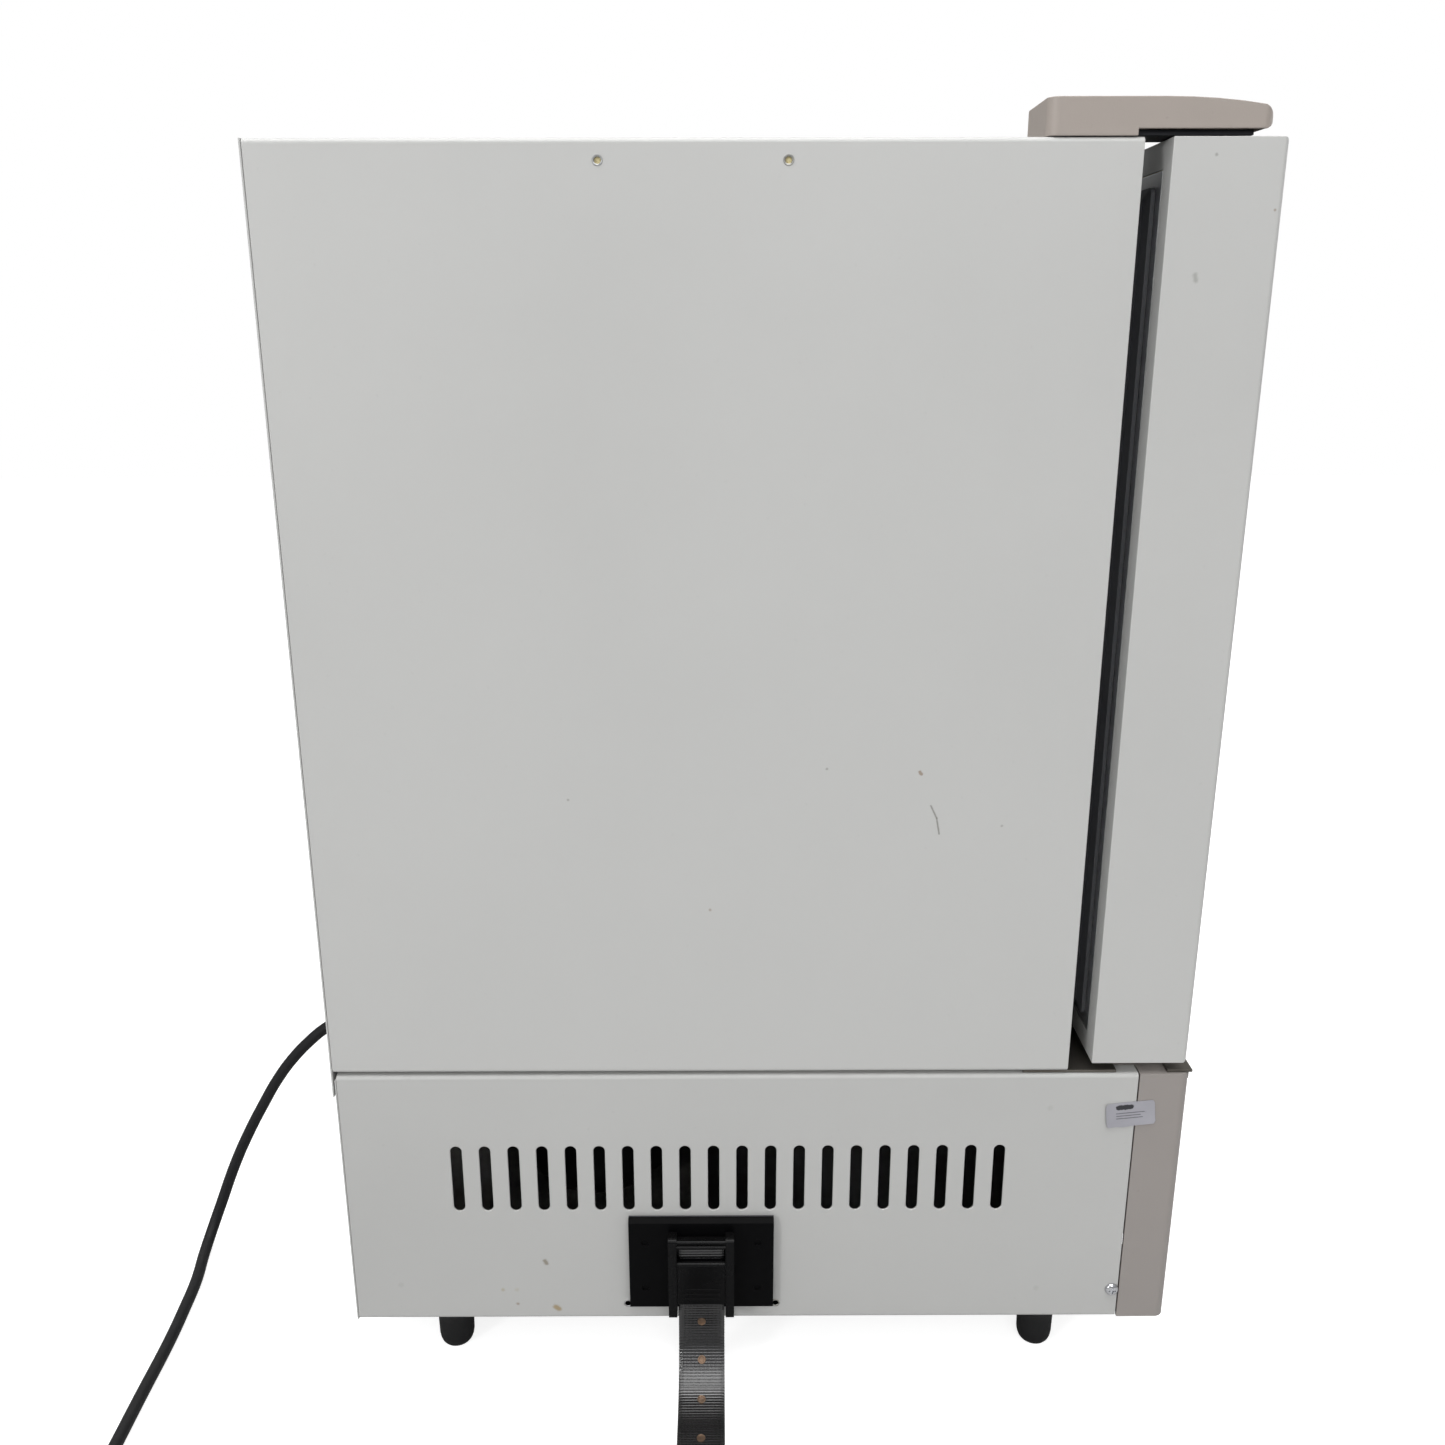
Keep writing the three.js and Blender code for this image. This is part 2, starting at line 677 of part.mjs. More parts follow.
add('top_hinge_bracket', topBracket(), material.darkSteel);
add('top_hinge_cover', topCover(), material.cap);
add('bottom_hinge_plate', lowerHingePlate(), material.zinc);

// ---- Lower compartment ----
const wingBackY = frontY + coverReturn;
const sideFrontY = wingBackY + fit;
const flange = 12;
const sideRearY = lowerRearY - sheet - fit;

function obround(y, z0, z1, w) {
  const r = w / 2;
  const shape = new THREE.Shape();
  shape.moveTo(y - r, z0 + r);
  shape.absarc(y, z0 + r, r, Math.PI, 2 * Math.PI);
  shape.lineTo(y + r, z1 - r);
  shape.absarc(y, z1 - r, r, 0, Math.PI);
  return shape;
}

function lowerSide(side) {
  const web = roundedRect(-sideX, sideX, bottomZ, lowerTopZ, bend);
  web.holes.push(roundedRect(
    -sideX + sheet, sideX - sheet, bottomZ + sheet, lowerTopZ - sheet, bend - sheet,
  ));
  const keep = side > 0 ? [sideX - flange, sideX + 1] : [-sideX - 1, -sideX + flange];
  const channel = prism(web, 'y', sideFrontY, sideRearY, 3)
    .intersect(block(keep, [sideFrontY - 1, sideRearY + 1], [bottomZ - 1, lowerTopZ + 1]));
  const cutX = side > 0 ? [sideX - 3, sideX + 1] : [-sideX - 1, -sideX + 3];
  const slots = [];
  for (let i = 0; i < slotCount; i += 1) {
    const y = slotCentreY + (i - (slotCount - 1) / 2) * slotPitch;
    const z = bottomZ + slotBottom;
    slots.push(prism(obround(y, z, z + slotHeight, slotWidth), 'x', ...cutX, 3));
  }
  const screwHole = rod('x', 2.5, ...cutX, sideScrewY, sideScrewZ);
  return channel.subtract(union(slots)).subtract(screwHole)
    .subtract(sideFixings(bottomZ + 13, 2));
}

const sideScrewY = frontY + 40.2;
const sideScrewZ = bottomZ + 24;

function sideScrew(side) {
  const profile = [[0, 0], [4.9, 0], [4.9, 0.6], [4.1, 1.7], [2.6, 2.5], [0, 2.8]];
  const head = turned(profile, 16).translate([0, 0, fit]);
  const shank = rod('z', 2, -9, fit + 0.2, 0, 0, 12);
  const recess = union([
    block([-2.4, 2.4], [-0.55, 0.55], [1.5, 4]),
    block([-0.55, 0.55], [-2.4, 2.4], [1.5, 4]),
  ]);
  return head.add(shank).subtract(recess)
    .rotate([0, side * 90, 0]).translate([side * sideX, sideScrewY, sideScrewZ]);
}

const glandX = -129 - caseShift;
const glandZ = 200;
const glandRadius = 8;

function lowerRear() {
  const plate = block([-sideX, sideX], [lowerRearY - sheet, lowerRearY], [bottomZ, lowerTopZ - 3]);
  const cutY = [lowerRearY - sheet - 1, lowerRearY + 1];
  const vents = [];
  const ventCount = 14;
  for (let i = 0; i < ventCount; i += 1) {
    const x = 20 + i * 16;
    vents.push(block([x - 4, x + 4], cutY, [bottomZ + 40, bottomZ + 120]));
  }
  return plate.subtract(union(vents)).subtract(rod('y', glandRadius + fit, ...cutY, glandX, glandZ, 20));
}

const deckZ = lowerTopZ - sheet - fit;
const trayX = sideX - bend - fit; // clear of the bends and of the front cover's wings
const panelZ = [bottomZ + 76, bottomZ + 156];
const panelX = [-120, 120];
const panelRecess = 3;
const panelFloorY = frontY + panelRecess;
const windowX = [-96, 4];
const windowZ = [bottomZ + 96, bottomZ + 140];
const keyWidth = 16;
const keyHeight = 10;
const keyPlaces = [[24, 22], [24, 46], [48, 34]];
const switchX = [82, 104];
const switchZ = [bottomZ + 98, bottomZ + 134];

function frontCover() {
  const corner = 7;
  const plan = roundedRect(-sideX, sideX, frontY, wingBackY + corner + 1, corner);
  const inside = roundedRect(
    -sideX + coverWall, sideX - coverWall, frontY + coverWall, wingBackY + 30, corner - coverWall,
  );
  const trim = block([-sideX - 1, sideX + 1], [frontY - 1, wingBackY], [bottomZ - 1, lowerTopZ + 1]);
  const brow = prism(
    roundedRect(frontY, wingBackY + 30, bottomZ - 20, lowerTopZ, 4), 'x', -sideX, sideX, 4,
  );
  const skin = prism(plan, 'z', bottomZ, lowerTopZ, 5).intersect(trim).intersect(brow)
    .subtract(prism(inside, 'z', bottomZ - 1, lowerTopZ - coverWall, 5));
  const shelfX = sideX - flange - 1;
  const ledgeTop = block(
    [-shelfX, shelfX], [wingBackY - 1, doorBackY - 4], [lowerTopZ - coverWall, lowerTopZ],
  );
  const boss = block(
    [panelX[0] - 3, panelX[1] + 3],
    [frontY + 1, panelFloorY + coverWall],
    [panelZ[0] - 3, panelZ[1] + 3],
  );
  const recess = block(panelX, [frontY - 1, panelFloorY], panelZ);
  const deep = [frontY - 1, panelFloorY + coverWall + 1];
  const cuts = [
    block(windowX, deep, windowZ),
    block(switchX, deep, switchZ),
    ...keyPlaces.map(([x, z]) => block(
      [x, x + keyWidth], deep, [panelZ[0] + z, panelZ[0] + z + keyHeight],
    )),
  ];
  return skin.add(ledgeTop).add(boss).subtract(recess).subtract(union(cuts));
}

const boardY = panelFloorY + coverWall + 6;

function keyCap([x, z]) {
  const z0 = panelZ[0] + z;
  const cap = block(
    [x + fit, x + keyWidth - fit],
    [panelFloorY - 1.6, panelFloorY + coverWall + 1.5],
    [z0 + fit, z0 + keyHeight - fit],
  );
  const stem = rod('y', 2, panelFloorY + coverWall + 1, boardY - 1.6, x + keyWidth / 2, z0 + keyHeight / 2);
  return cap.add(stem);
}

function controlBoard() {
  const plate = block([panelX[0] + 4, 74], [boardY, boardY + 1.6], [panelZ[0] + 4, panelZ[1] - 4]);
  const relayZ = [panelZ[0] + 25, panelZ[0] + 45];
  const terminalZ = [panelZ[0] + 11, panelZ[0] + 25];
  const relays = [-80, -50, -20].map((x) => block([x, x + 20], [boardY + 1, boardY + 17], relayZ));
  const terminals = block([20, 66], [boardY + 1, boardY + 13], terminalZ);
  const display = block(
    [windowX[0] + 4, windowX[1] - 4], [panelFloorY + coverWall, boardY + 0.5],
    [windowZ[0] + 3, windowZ[1] - 3],
  );
  return union([plate, ...relays, terminals, display]);
}

const switchMidZ = (switchZ[0] + switchZ[1]) / 2;
const rockerPivotY = panelFloorY + 5;
const rockerTilt = 7; // degrees from the middle at rest, in the off position
const rockerHalf = (switchZ[1] - switchZ[0]) / 2 - 2.2;

// A rocker cap with two shallow faces that meet at its middle, turned about its pivot.
function rocker() {
  const shape = new THREE.Shape();
  shape.moveTo(2, -rockerHalf * 0.6);
  shape.lineTo(-3.6, -rockerHalf);
  shape.lineTo(-5.2, -rockerHalf + 1);
  shape.lineTo(-4.4, 0);
  shape.lineTo(-5.2, rockerHalf - 1);
  shape.lineTo(-3.6, rockerHalf);
  shape.lineTo(2, rockerHalf * 0.6);
  return prism(shape, 'x', switchX[0] + 3, switchX[1] - 3)
    .rotate([rockerTilt, 0, 0]).translate([0, rockerPivotY, switchMidZ]);
}

function switchHousing() {
  const body = block(
    [switchX[0] + fit, switchX[1] - fit], [panelFloorY, panelFloorY + 24],
    [switchZ[0] + fit, switchZ[1] - fit],
  );
  const well = block(
    [switchX[0] + 2.4, switchX[1] - 2.4], [panelFloorY - 1, panelFloorY + 14],
    [switchZ[0] + 1.6, switchZ[1] - 1.6],
  );
  return body.subtract(well);
}

add('lower_side_left', lowerSide(-1), material.white);
add('lower_side_right', lowerSide(1), material.white);
add('side_screw_left', sideScrew(-1), material.zinc);
add('side_screw_right', sideScrew(1), material.zinc);
add('lower_rear_panel', lowerRear(), material.white);
add('deck_plate', block(
  [-trayX, trayX], [doorBackY - 3, sideRearY], [deckZ - 1.5, deckZ],
).subtract(block(chaseX, chaseY, [deckZ - 3, deckZ + 1])), material.zinc);
const trayZ = bottomZ + sheet + fit;
const traySheet = 1.5;
add('base_pan', block(
  [-trayX, trayX], [frontY + coverWall + 6, sideRearY], [trayZ, trayZ + traySheet],
), material.zinc);
add('front_cover', frontCover(), material.beige);
add('display_window', block(
  [windowX[0] + fit, windowX[1] - fit], [panelFloorY - 0.5, panelFloorY + coverWall - fit],
  [windowZ[0] + fit, windowZ[1] - fit],
), material.lens);
add('control_board', controlBoard(), material.board);
['key_down', 'key_up', 'key_set'].forEach((name, i) => {
  add(name, keyCap(keyPlaces[i]), material.key);
});
add('power_switch_housing', switchHousing(), material.black);
add('power_switch_rocker', rocker(), material.black);

// ---- Refrigeration unit ----
const panZ = trayZ + traySheet + fit;
const compressorPlace = [-sideX + 170, rearY - 165];
const condenserY = [rearY - 355, rearY - 115];
const condenserX = [sideX - 72, sideX - 28];
const condenserZ = [panZ + 12, panZ + 162];
const fanCentre = [(condenserY[0] + condenserY[1]) / 2, panZ + 86];
const shroudX = [condenserX[0] - 24, condenserX[0] - 21];

function compressor() {
  const [x, y] = compressorPlace;
  const profile = [[0, 12], [48, 14], [62, 30], [64, 50], [64, 110], [60, 134], [40, 150], [0, 154]];
  const can = turned(profile, 24).translate([x, y, panZ]);
  const plate = block([x - 70, x + 70], [y - 84, y + 84], [panZ + 10, panZ + 14]);
  const feet = [[-1, -1], [-1, 1], [1, -1], [1, 1]].map(([a, b]) => rod(
    'z', 10, panZ, panZ + 12, x + a * 58, y + b * 72,
  ));
  const terminalBox = block([x - 25, x + 25], [y - 86, y - 58], [panZ + 50, panZ + 100]);
  return union([can, plate, ...feet, terminalBox]);
}

function condenser() {
  const fins = finnedBlock(condenserY, [-condenserX[1], -condenserX[0]], condenserZ, 16)
    .rotate([0, 0, 90]);
  const skirt = block(
    [condenserX[0], condenserX[1]], [condenserY[0], condenserY[1]], [panZ, condenserZ[0] + 1],
  );
  const shroud = block(
    [shroudX[0], condenserX[0] + 12], [condenserY[0], condenserY[1]], [panZ, condenserZ[1]],
  ).subtract(block(
    [shroudX[1], condenserX[0] + 13],
    [condenserY[0] + sheet, condenserY[1] - sheet],
    [panZ + sheet, condenserZ[1] - sheet],
  ));
  const hole = rod('x', 64, shroudX[0] - 1, shroudX[1] + 1, ...fanCentre, 28);
  return union([fins, skirt, shroud]).subtract(hole);
}

function condenserMotor() {
  const x = shroudX[0] - 14;
  const can = rod('x', 24, x - 40, x, ...fanCentre, 20);
  const shaft = rod('x', shaftRadius, x, x + 22, ...fanCentre);
  const stand = block([x - 36, x - 8], [fanCentre[0] - 12, fanCentre[0] + 12], [panZ, fanCentre[1] - 10]);
  return union([can, shaft, stand]);
}

function dischargeTube() {
  const [x, y] = compressorPlace;
  const z = panZ + 120;
  return tube([
    vector(x + 64, y, z), vector(x + 90, y, z), vector(x + 110, y, z + 30),
    vector(x + 150, y + 20, z + 52), vector(condenserX[0] - 60, condenserY[1] + 16, z + 52),
    vector(condenserX[0] + 10, condenserY[1] + 22, z + 40),
    vector(condenserX[0] + 22, condenserY[1] + 14, z + 22),
    vector(condenserX[0] + 22, condenserY[1] + 2, z + 18),
  ], 3.2, 8, 30);
}

function suctionTube() {
  const [x, y] = compressorPlace;
  return tube([
    vector(suctionX, linerBackY + 3, pipeZ), vector(suctionX, pipeY - 4, pipeZ - 2),
    vector(suctionX, pipeY, pipeZ - 14), vector(suctionX, pipeY, cabinetBottomZ),
    vector(suctionX, pipeY, deckZ - 20), vector(suctionX - 2, pipeY - 6, deckZ - 40),
    vector(x + 66, y + 60, panZ + 96), vector(x + 52, y + 52, panZ + 90),
  ], suctionRadius, 8, 34);
}

// The thin feed line, with the drier's copper body at its lower end.
function capillary() {
  const drierX = condenserX[0] - 60;
  const drierY = condenserY[1] + 34;
  const line = tube([
    vector(capillaryX, linerBackY + 3, pipeZ), vector(capillaryX, pipeY - 4, pipeZ - 1),
    vector(capillaryX, pipeY, pipeZ - 12), vector(capillaryX, pipeY, cabinetBottomZ),
    vector(capillaryX, pipeY, deckZ - 20), vector(capillaryX + 20, pipeY - 6, deckZ - 34),
    vector(drierX - 40, drierY, panZ + 60), vector(drierX, drierY, panZ + 60),
  ], capillaryRadius, 6, 34);
  const body = rod('x', 9, drierX - 4, drierX + 50, drierY, panZ + 60, 12);
  const outlet = rod('x', 3.2, drierX + 48, drierX + 78, drierY, panZ + 60, 8);
  return union([line, body, outlet]);
}

add('compressor', compressor(), material.black);
add('condenser', condenser(), material.aluminium);
add('condenser_fan_motor', condenserMotor(), material.darkSteel);
add('condenser_fan', fanRotor(60, 15, 12, 5, shaftRadius + runningClearance)
  .rotate([0, 0, -90]).translate([shroudX[0] - 14 + 3, ...fanCentre]), material.aluminium);
add('discharge_tube', dischargeTube(), material.copper);
add('suction_tube', suctionTube(), material.copper);
add('capillary_and_drier', capillary(), material.copper);

// ---- Feet ----
function foot() {
  const profile = [
    [0, 0], [footBottom - 2, 0], [footBottom, 2], [footTop - 3, footHeight * 0.55],
    [footTop, footHeight - 6], [footTop, footHeight - fit], [0, footHeight - fit],
  ];
  return turned(profile, 24);
}

[['front', frontY + footFrontInset], ['rear', rearY - footRearInset]].forEach(([row, y]) => {
  [['left', -1], ['right', 1]].forEach(([name, side]) => {
    add(`foot_${row}_${name}`, foot().translate([side * (sideX - footInset), y, 0]), material.rubber);
  });
});

// ---- Strap anchor on the left side ----
const anchorZ = [bottomZ + anchorBottom, bottomZ + anchorBottom + anchorHeight];
const anchorY = [anchorCentreY - anchorWidth / 2, anchorCentreY + anchorWidth / 2];
const padX = [-sideX - fit - padThickness, -sideX - fit];
const plateX = [padX[0] - fit - anchorPlate, padX[0] - fit];
const buckleX = [plateX[0] - buckleDepth, plateX[0] - fit];
const buckleHalf = buckleInner / 2 + buckleEar;
const buckleZ = [anchorZ[0] - 2, anchorZ[1] - 9];
const leverPivotZ = buckleZ[1] - 22;
const leverPivotX = buckleX[0] + 3.1;
const leverPin = 1.1;

function anchorPlateSolid() {
  const bevel = 2.5;
  const shape = new THREE.Shape();
  shape.moveTo(plateX[1], anchorZ[0]);
  shape.lineTo(plateX[1], anchorZ[1]);
  shape.lineTo(plateX[0] + bevel, anchorZ[1]);
  shape.lineTo(plateX[0], anchorZ[1] - bevel);
  shape.lineTo(plateX[0], anchorZ[0]);
  const plate = prism(shape, 'y', ...anchorY);
  const dimples = [-1, 1].flatMap((s) => [-1, 1].map((t) => rod(
    'x', 2.6, plateX[0] - 1, plateX[0] + 1,
    anchorCentreY + s * 40, (anchorZ[0] + anchorZ[1]) / 2 - 1 + t * 19,
  )));
  return plate.subtract(union(dimples));
}

function buckleFrame() {
  const ears = [-1, 1].map((s) => {
    const inner = anchorCentreY + (s * buckleInner) / 2;
    const outer = anchorCentreY + s * buckleHalf;
    return prism(
      roundedRect(buckleX[0], buckleX[1] + 3, buckleZ[0], buckleZ[1], 3), 'y',
      Math.min(inner, outer), Math.max(inner, outer), 3,
    ).intersect(block(buckleX, [-400, 400], [0, 400]));
  });
  const base = block(
    [buckleX[1] - buckleBase, buckleX[1]],
    [anchorCentreY - buckleHalf + 1, anchorCentreY + buckleHalf - 1],
    [buckleZ[0] + 4, buckleZ[1] - 4],
  );
  const across = [anchorCentreY - buckleInner / 2 - 1, anchorCentreY + buckleInner / 2 + 1];
  const bars = [2.8, 7].map((drop) => rod('y', 1.4, ...across, buckleX[0] + 2.2, buckleZ[1] - drop));
  const pivot = rod('y', leverPin, ...across, leverPivotX, leverPivotZ);
  return union([...ears, base, ...bars, pivot]);
}

function camLever() {
  const half = buckleInner / 2 - fit;
  const span = [anchorCentreY - half, anchorCentreY + half];
  const plate = block([buckleX[0] + 0.8, buckleX[0] + 3.4], span, [buckleZ[0] + 12, leverPivotZ]);
  const barrel = rod('y', 2.4, ...span, leverPivotX, leverPivotZ, 16);
  const ribs = [16, 20, 24].map((up) => block(
    [buckleX[0] + 0.2, buckleX[0] + 1], [span[0] + 4, span[1] - 4],
    [buckleZ[0] + up, buckleZ[0] + up + 1.2],
  ));
  const bore = rod('y', leverPin + 0.15, span[0] - 1, span[1] + 1, leverPivotX, leverPivotZ);
  return union([plate, barrel, ...ribs]).subtract(bore);
}

add('adhesive_pad', block(padX, anchorY, anchorZ), material.gasket);
add('anchor_plate', anchorPlateSolid(), material.black);
add('buckle_frame', buckleFrame(), material.black);
add('cam_lever', camLever(), material.black);

// ---- Strap: from behind the lever, down the side, then along the table ----
const strapX = caseShift + buckleX[1] - buckleBase - 0.4 - strapThickness / 2;
const strapRoute = [
  [0, 0, 106], [0, 0, 90], [0, 0, 70], [0, 0, 52], [-1, 0, 36], [-7, 0, 20], [-20, 0, 7.5], [-38, 0, 2.2],
  [-60, 0, 1.4], [-90, 0, 1.4], [-130, 0, 1.4], [-165, 0, 1.4], [-190, 0, 1.4],
];

function flatStrap() {
  const curve = new THREE.CatmullRomCurve3(
    strapRoute.map(([x, y, z]) => vector(strapX + x, anchorCentreY + y, z)), false, 'centripetal',
  );
  const steps = 40;
  const outline = new THREE.Shape();
  const face = (s) => curve.getPointAt(s / steps);
  const normal = (s) => {
    const t = curve.getTangentAt(s / steps);
    return new THREE.Vector2(t.z, -t.x);
  };
  const rim = [];
  for (let s = 0; s <= steps; s += 1) {
    rim.push([face(s), normal(s), 1]);
  }
  for (let s = steps; s >= 0; s -= 1) {
    rim.push([face(s), normal(s), -1]);
  }
  rim.forEach(([p, n, side], i) => {
    const x = p.x + (side * n.x * strapThickness) / 2;
    const z = p.z + (side * n.y * strapThickness) / 2;
    outline[i ? 'lineTo' : 'moveTo'](x, z);
  });
  return prism(outline, 'y', anchorCentreY - strapWidth / 2, anchorCentreY + strapWidth / 2);
}

add('strap', flatStrap(), material.strap, model);

// ---- Power cord ----
const cordRoute = [
  [-129, 318, 200], [-129, 332, 198], [-129, 346, 190.5], [-129, 361, 178], [-129, 377, 161],
  [-129, 391, 142], [-129, 403, 122], [-130, 418, 95], [-132, 432, 66], [-138, 446, 30],
  [-150, 452, 11], [-168, 451.5, 5.2], [-199, 446, 4.9], [-232, 443, 4.9], [-264, 441, 4.9],
  [-319, 440, 4.9], [-360, 439, 4.9], [-408, leadInY, 4.9],
];

function cordGland() {
  const x = glandX;
  const flangePart = rod('y', 13, lowerRearY + fit, lowerRearY + 5, x, glandZ, 20);
  const thread = rod('y', glandRadius, lowerRearY - 10, lowerRearY + 1, x, glandZ, 20);
  const sleeve = rod('y', 7.5, lowerRearY + 4, cordRoute[0][1] - 1, x, glandZ, 16);
  return union([flangePart, thread, sleeve]);
}

function coilSolid() {
  const r = cordDiameter / 2;
  const inner = coilTurnRadii[0] - r;
  const outer = coilTurnRadii[1] + r;
  const height = cordDiameter * coilLayers;
  const points = [[inner, 0], [outer, 0], [outer, height], [inner, height], [inner, 0]];
  const geometry = new THREE.LatheGeometry(points.map(([a, b]) => new THREE.Vector2(a, b)), 28);
  geometry.rotateX(Math.PI / 2);
  const ring = toSolid(geometry).translate([coilCentre.x, coilCentre.y, 0.3]);
  const inEnd = cordRoute[cordRoute.length - 1];
  const lead = rod('x', r, coilCentre.x, inEnd[0] - fit, coilCentre.y + coilTurnRadii[1], inEnd[2], 10);
  const outX = coilCentre.x - coilTurnRadii[1];
  const tail = tube([
    vector(outX, coilCentre.y, plugZ), vector(outX, coilCentre.y - 16, plugZ),
    vector(outX, coilCentre.y - 32, plugZ), vector(outX, plugBackY + fit, plugZ),
  ], r, 10, 10);
  return union([ring, lead, tail]);
}

const plugBackY = coilCentre.y - 48;
const plugZ = 14;

function powerPlug() {
  const x = coilCentre.x - coilTurnRadii[1];
  const y = plugBackY;
  const sleeve = rod('y', 6.2, y - 20, y, x, plugZ, 14);
  const body = prism(roundedRect(x - 15, x + 15, plugZ - 12.5, plugZ + 12.5, 6), 'y', y - 52, y - 18, 4);
  const pins = [-6.3, 6.3].map((dx) => block(
    [x + dx - 0.8, x + dx + 0.8], [y - 69, y - 50], [plugZ, plugZ + 6.4],
  ));
  const earth = rod('y', 2.4, y - 72, y - 50, x, plugZ - 6, 10);
  return union([sleeve, body, ...pins, earth]);
}

add('cord_gland', cordGland(), material.black);
add('power_cord', tube(
  cordRoute.map((p) => vector(...p)), cordDiameter / 2, 8, 40,
), material.rubber, model);
add('power_cord_coil', coilSolid(), material.rubber, model);
add('power_plug', powerPlug(), material.rubber, model);

export default model;
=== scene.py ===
import json
import math

import bmesh
import bpy
import numpy as np
from mathutils import Matrix, Vector

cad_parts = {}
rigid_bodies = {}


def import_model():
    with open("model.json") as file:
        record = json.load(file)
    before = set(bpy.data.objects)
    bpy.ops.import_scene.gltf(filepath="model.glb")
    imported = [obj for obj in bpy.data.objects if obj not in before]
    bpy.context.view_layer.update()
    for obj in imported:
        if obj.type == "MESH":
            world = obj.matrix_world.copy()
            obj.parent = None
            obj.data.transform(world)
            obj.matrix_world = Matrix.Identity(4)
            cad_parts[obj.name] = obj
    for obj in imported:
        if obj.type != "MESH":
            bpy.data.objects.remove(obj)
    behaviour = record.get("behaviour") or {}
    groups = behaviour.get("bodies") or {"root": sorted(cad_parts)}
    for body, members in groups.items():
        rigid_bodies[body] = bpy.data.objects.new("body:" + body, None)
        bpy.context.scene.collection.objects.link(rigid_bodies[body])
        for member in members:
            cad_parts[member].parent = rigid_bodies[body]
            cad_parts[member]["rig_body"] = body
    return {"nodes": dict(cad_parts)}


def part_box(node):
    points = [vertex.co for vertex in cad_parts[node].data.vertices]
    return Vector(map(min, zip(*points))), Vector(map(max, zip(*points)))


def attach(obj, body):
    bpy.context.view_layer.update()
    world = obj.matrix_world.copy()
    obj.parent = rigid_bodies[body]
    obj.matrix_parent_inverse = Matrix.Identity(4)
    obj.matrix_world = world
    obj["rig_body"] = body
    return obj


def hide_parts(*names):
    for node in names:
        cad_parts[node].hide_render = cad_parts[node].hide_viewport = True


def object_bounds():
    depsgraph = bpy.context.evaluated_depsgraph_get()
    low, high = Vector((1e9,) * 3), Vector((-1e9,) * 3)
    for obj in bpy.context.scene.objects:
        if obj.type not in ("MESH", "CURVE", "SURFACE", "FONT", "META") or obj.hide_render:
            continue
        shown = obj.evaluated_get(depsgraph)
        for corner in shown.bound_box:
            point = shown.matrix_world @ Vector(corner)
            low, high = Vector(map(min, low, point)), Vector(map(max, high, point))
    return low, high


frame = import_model()
cad_low, cad_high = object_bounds()

# ---- Camera ----
# It stands to the left of the machine, above the middle of the cabinet, and looks down a little.
eye = Vector((-1.06706, 0.02814, 0.72475))
yaw, pitch, roll = (math.radians(a) for a in (-0.145, 16.524, -0.110))
ahead = Vector((math.cos(yaw) * math.cos(pitch), math.sin(yaw) * math.cos(pitch), -math.sin(pitch)))
level = Vector((math.sin(yaw), -math.cos(yaw), 0))
upright = level.cross(ahead)
across = math.cos(roll) * level + math.sin(roll) * upright
above = -math.sin(roll) * level + math.cos(roll) * upright
lens = bpy.data.cameras.new("camera")
lens.sensor_width = 36
lens.lens = 36 * 1299.68 / 1445
lens.clip_end = 20


def placed(name, data):
    """A new object in the scene."""
    made = bpy.data.objects.new(name, data)
    bpy.context.scene.collection.objects.link(made)
    return made


camera = placed("camera", lens)
camera.matrix_world = Matrix.Translation(eye) @ Matrix((across, above, -ahead)).transposed().to_4x4()
bpy.context.scene.camera = camera

# ---- Floor and light ----
# A white table top, a soft light overhead, a broad fill from above the camera, a smaller key light
# from the upper left and a weak one for the front, with a white room all round.
floor_mesh = bpy.data.meshes.new("table_top")
floor_mesh.from_pydata([(-6, -6, 0), (6, -6, 0), (6, 6, 0), (-6, 6, 0)], [], [(0, 1, 2, 3)])
placed("table_top", floor_mesh)


def feed(made, **values):
    """Gives a node its values, each to the property or the input of that name."""
    for name, value in values.items():
        if name[0].islower() and name != "inputs":
            setattr(made, name, value)
            continue
        if name == "inputs":
            pairs = zip(made.inputs, value)
        else:
            pairs = [(made.inputs[name.replace("_", " ")], value)]
        for socket, each in pairs:
            if isinstance(each, bpy.types.NodeSocket):
                made.id_data.links.new(each, socket)
            elif each is not None:
                socket.default_value = each
    return made


def node(tree, kind, **values):
    return feed(tree.nodes.new(kind), **values)


def sha(tree, kind, **values):
    """The first output of a new shader node."""
    return node(tree, "ShaderNode" + kind, **values).outputs[0]


def geo(tree, kind, **values):
    """The first output of a new geometry node."""
    return node(tree, "GeometryNode" + kind, **values).outputs[0]


def maths(tree, operation, *inputs, clamp=False):
    return node(tree, "ShaderNodeMath", operation=operation, use_clamp=clamp, inputs=inputs).outputs[0]


def new_material(name):
    material = bpy.data.materials.new(name)
    material.use_nodes = True
    tree = material.node_tree
    place = node(tree, "ShaderNodeTexCoord").outputs["Object"]
    return material, tree, tree.nodes["Principled BSDF"], place


table_finish, tree, shader, _ = new_material("white_table")
feed(shader, Base_Color=(0.55, 0.55, 0.55, 1), Roughness=0.9, Specular_IOR_Level=0.1)
# It shines a little to the camera alone, so that it is white to its far edge.
to_camera = node(tree, "ShaderNodeLightPath").outputs["Is Camera Ray"]
feed(shader, Emission_Color=(1, 1, 1, 1), Emission_Strength=maths(tree, "MULTIPLY", to_camera, 0.8))
floor_mesh.materials.append(table_finish)

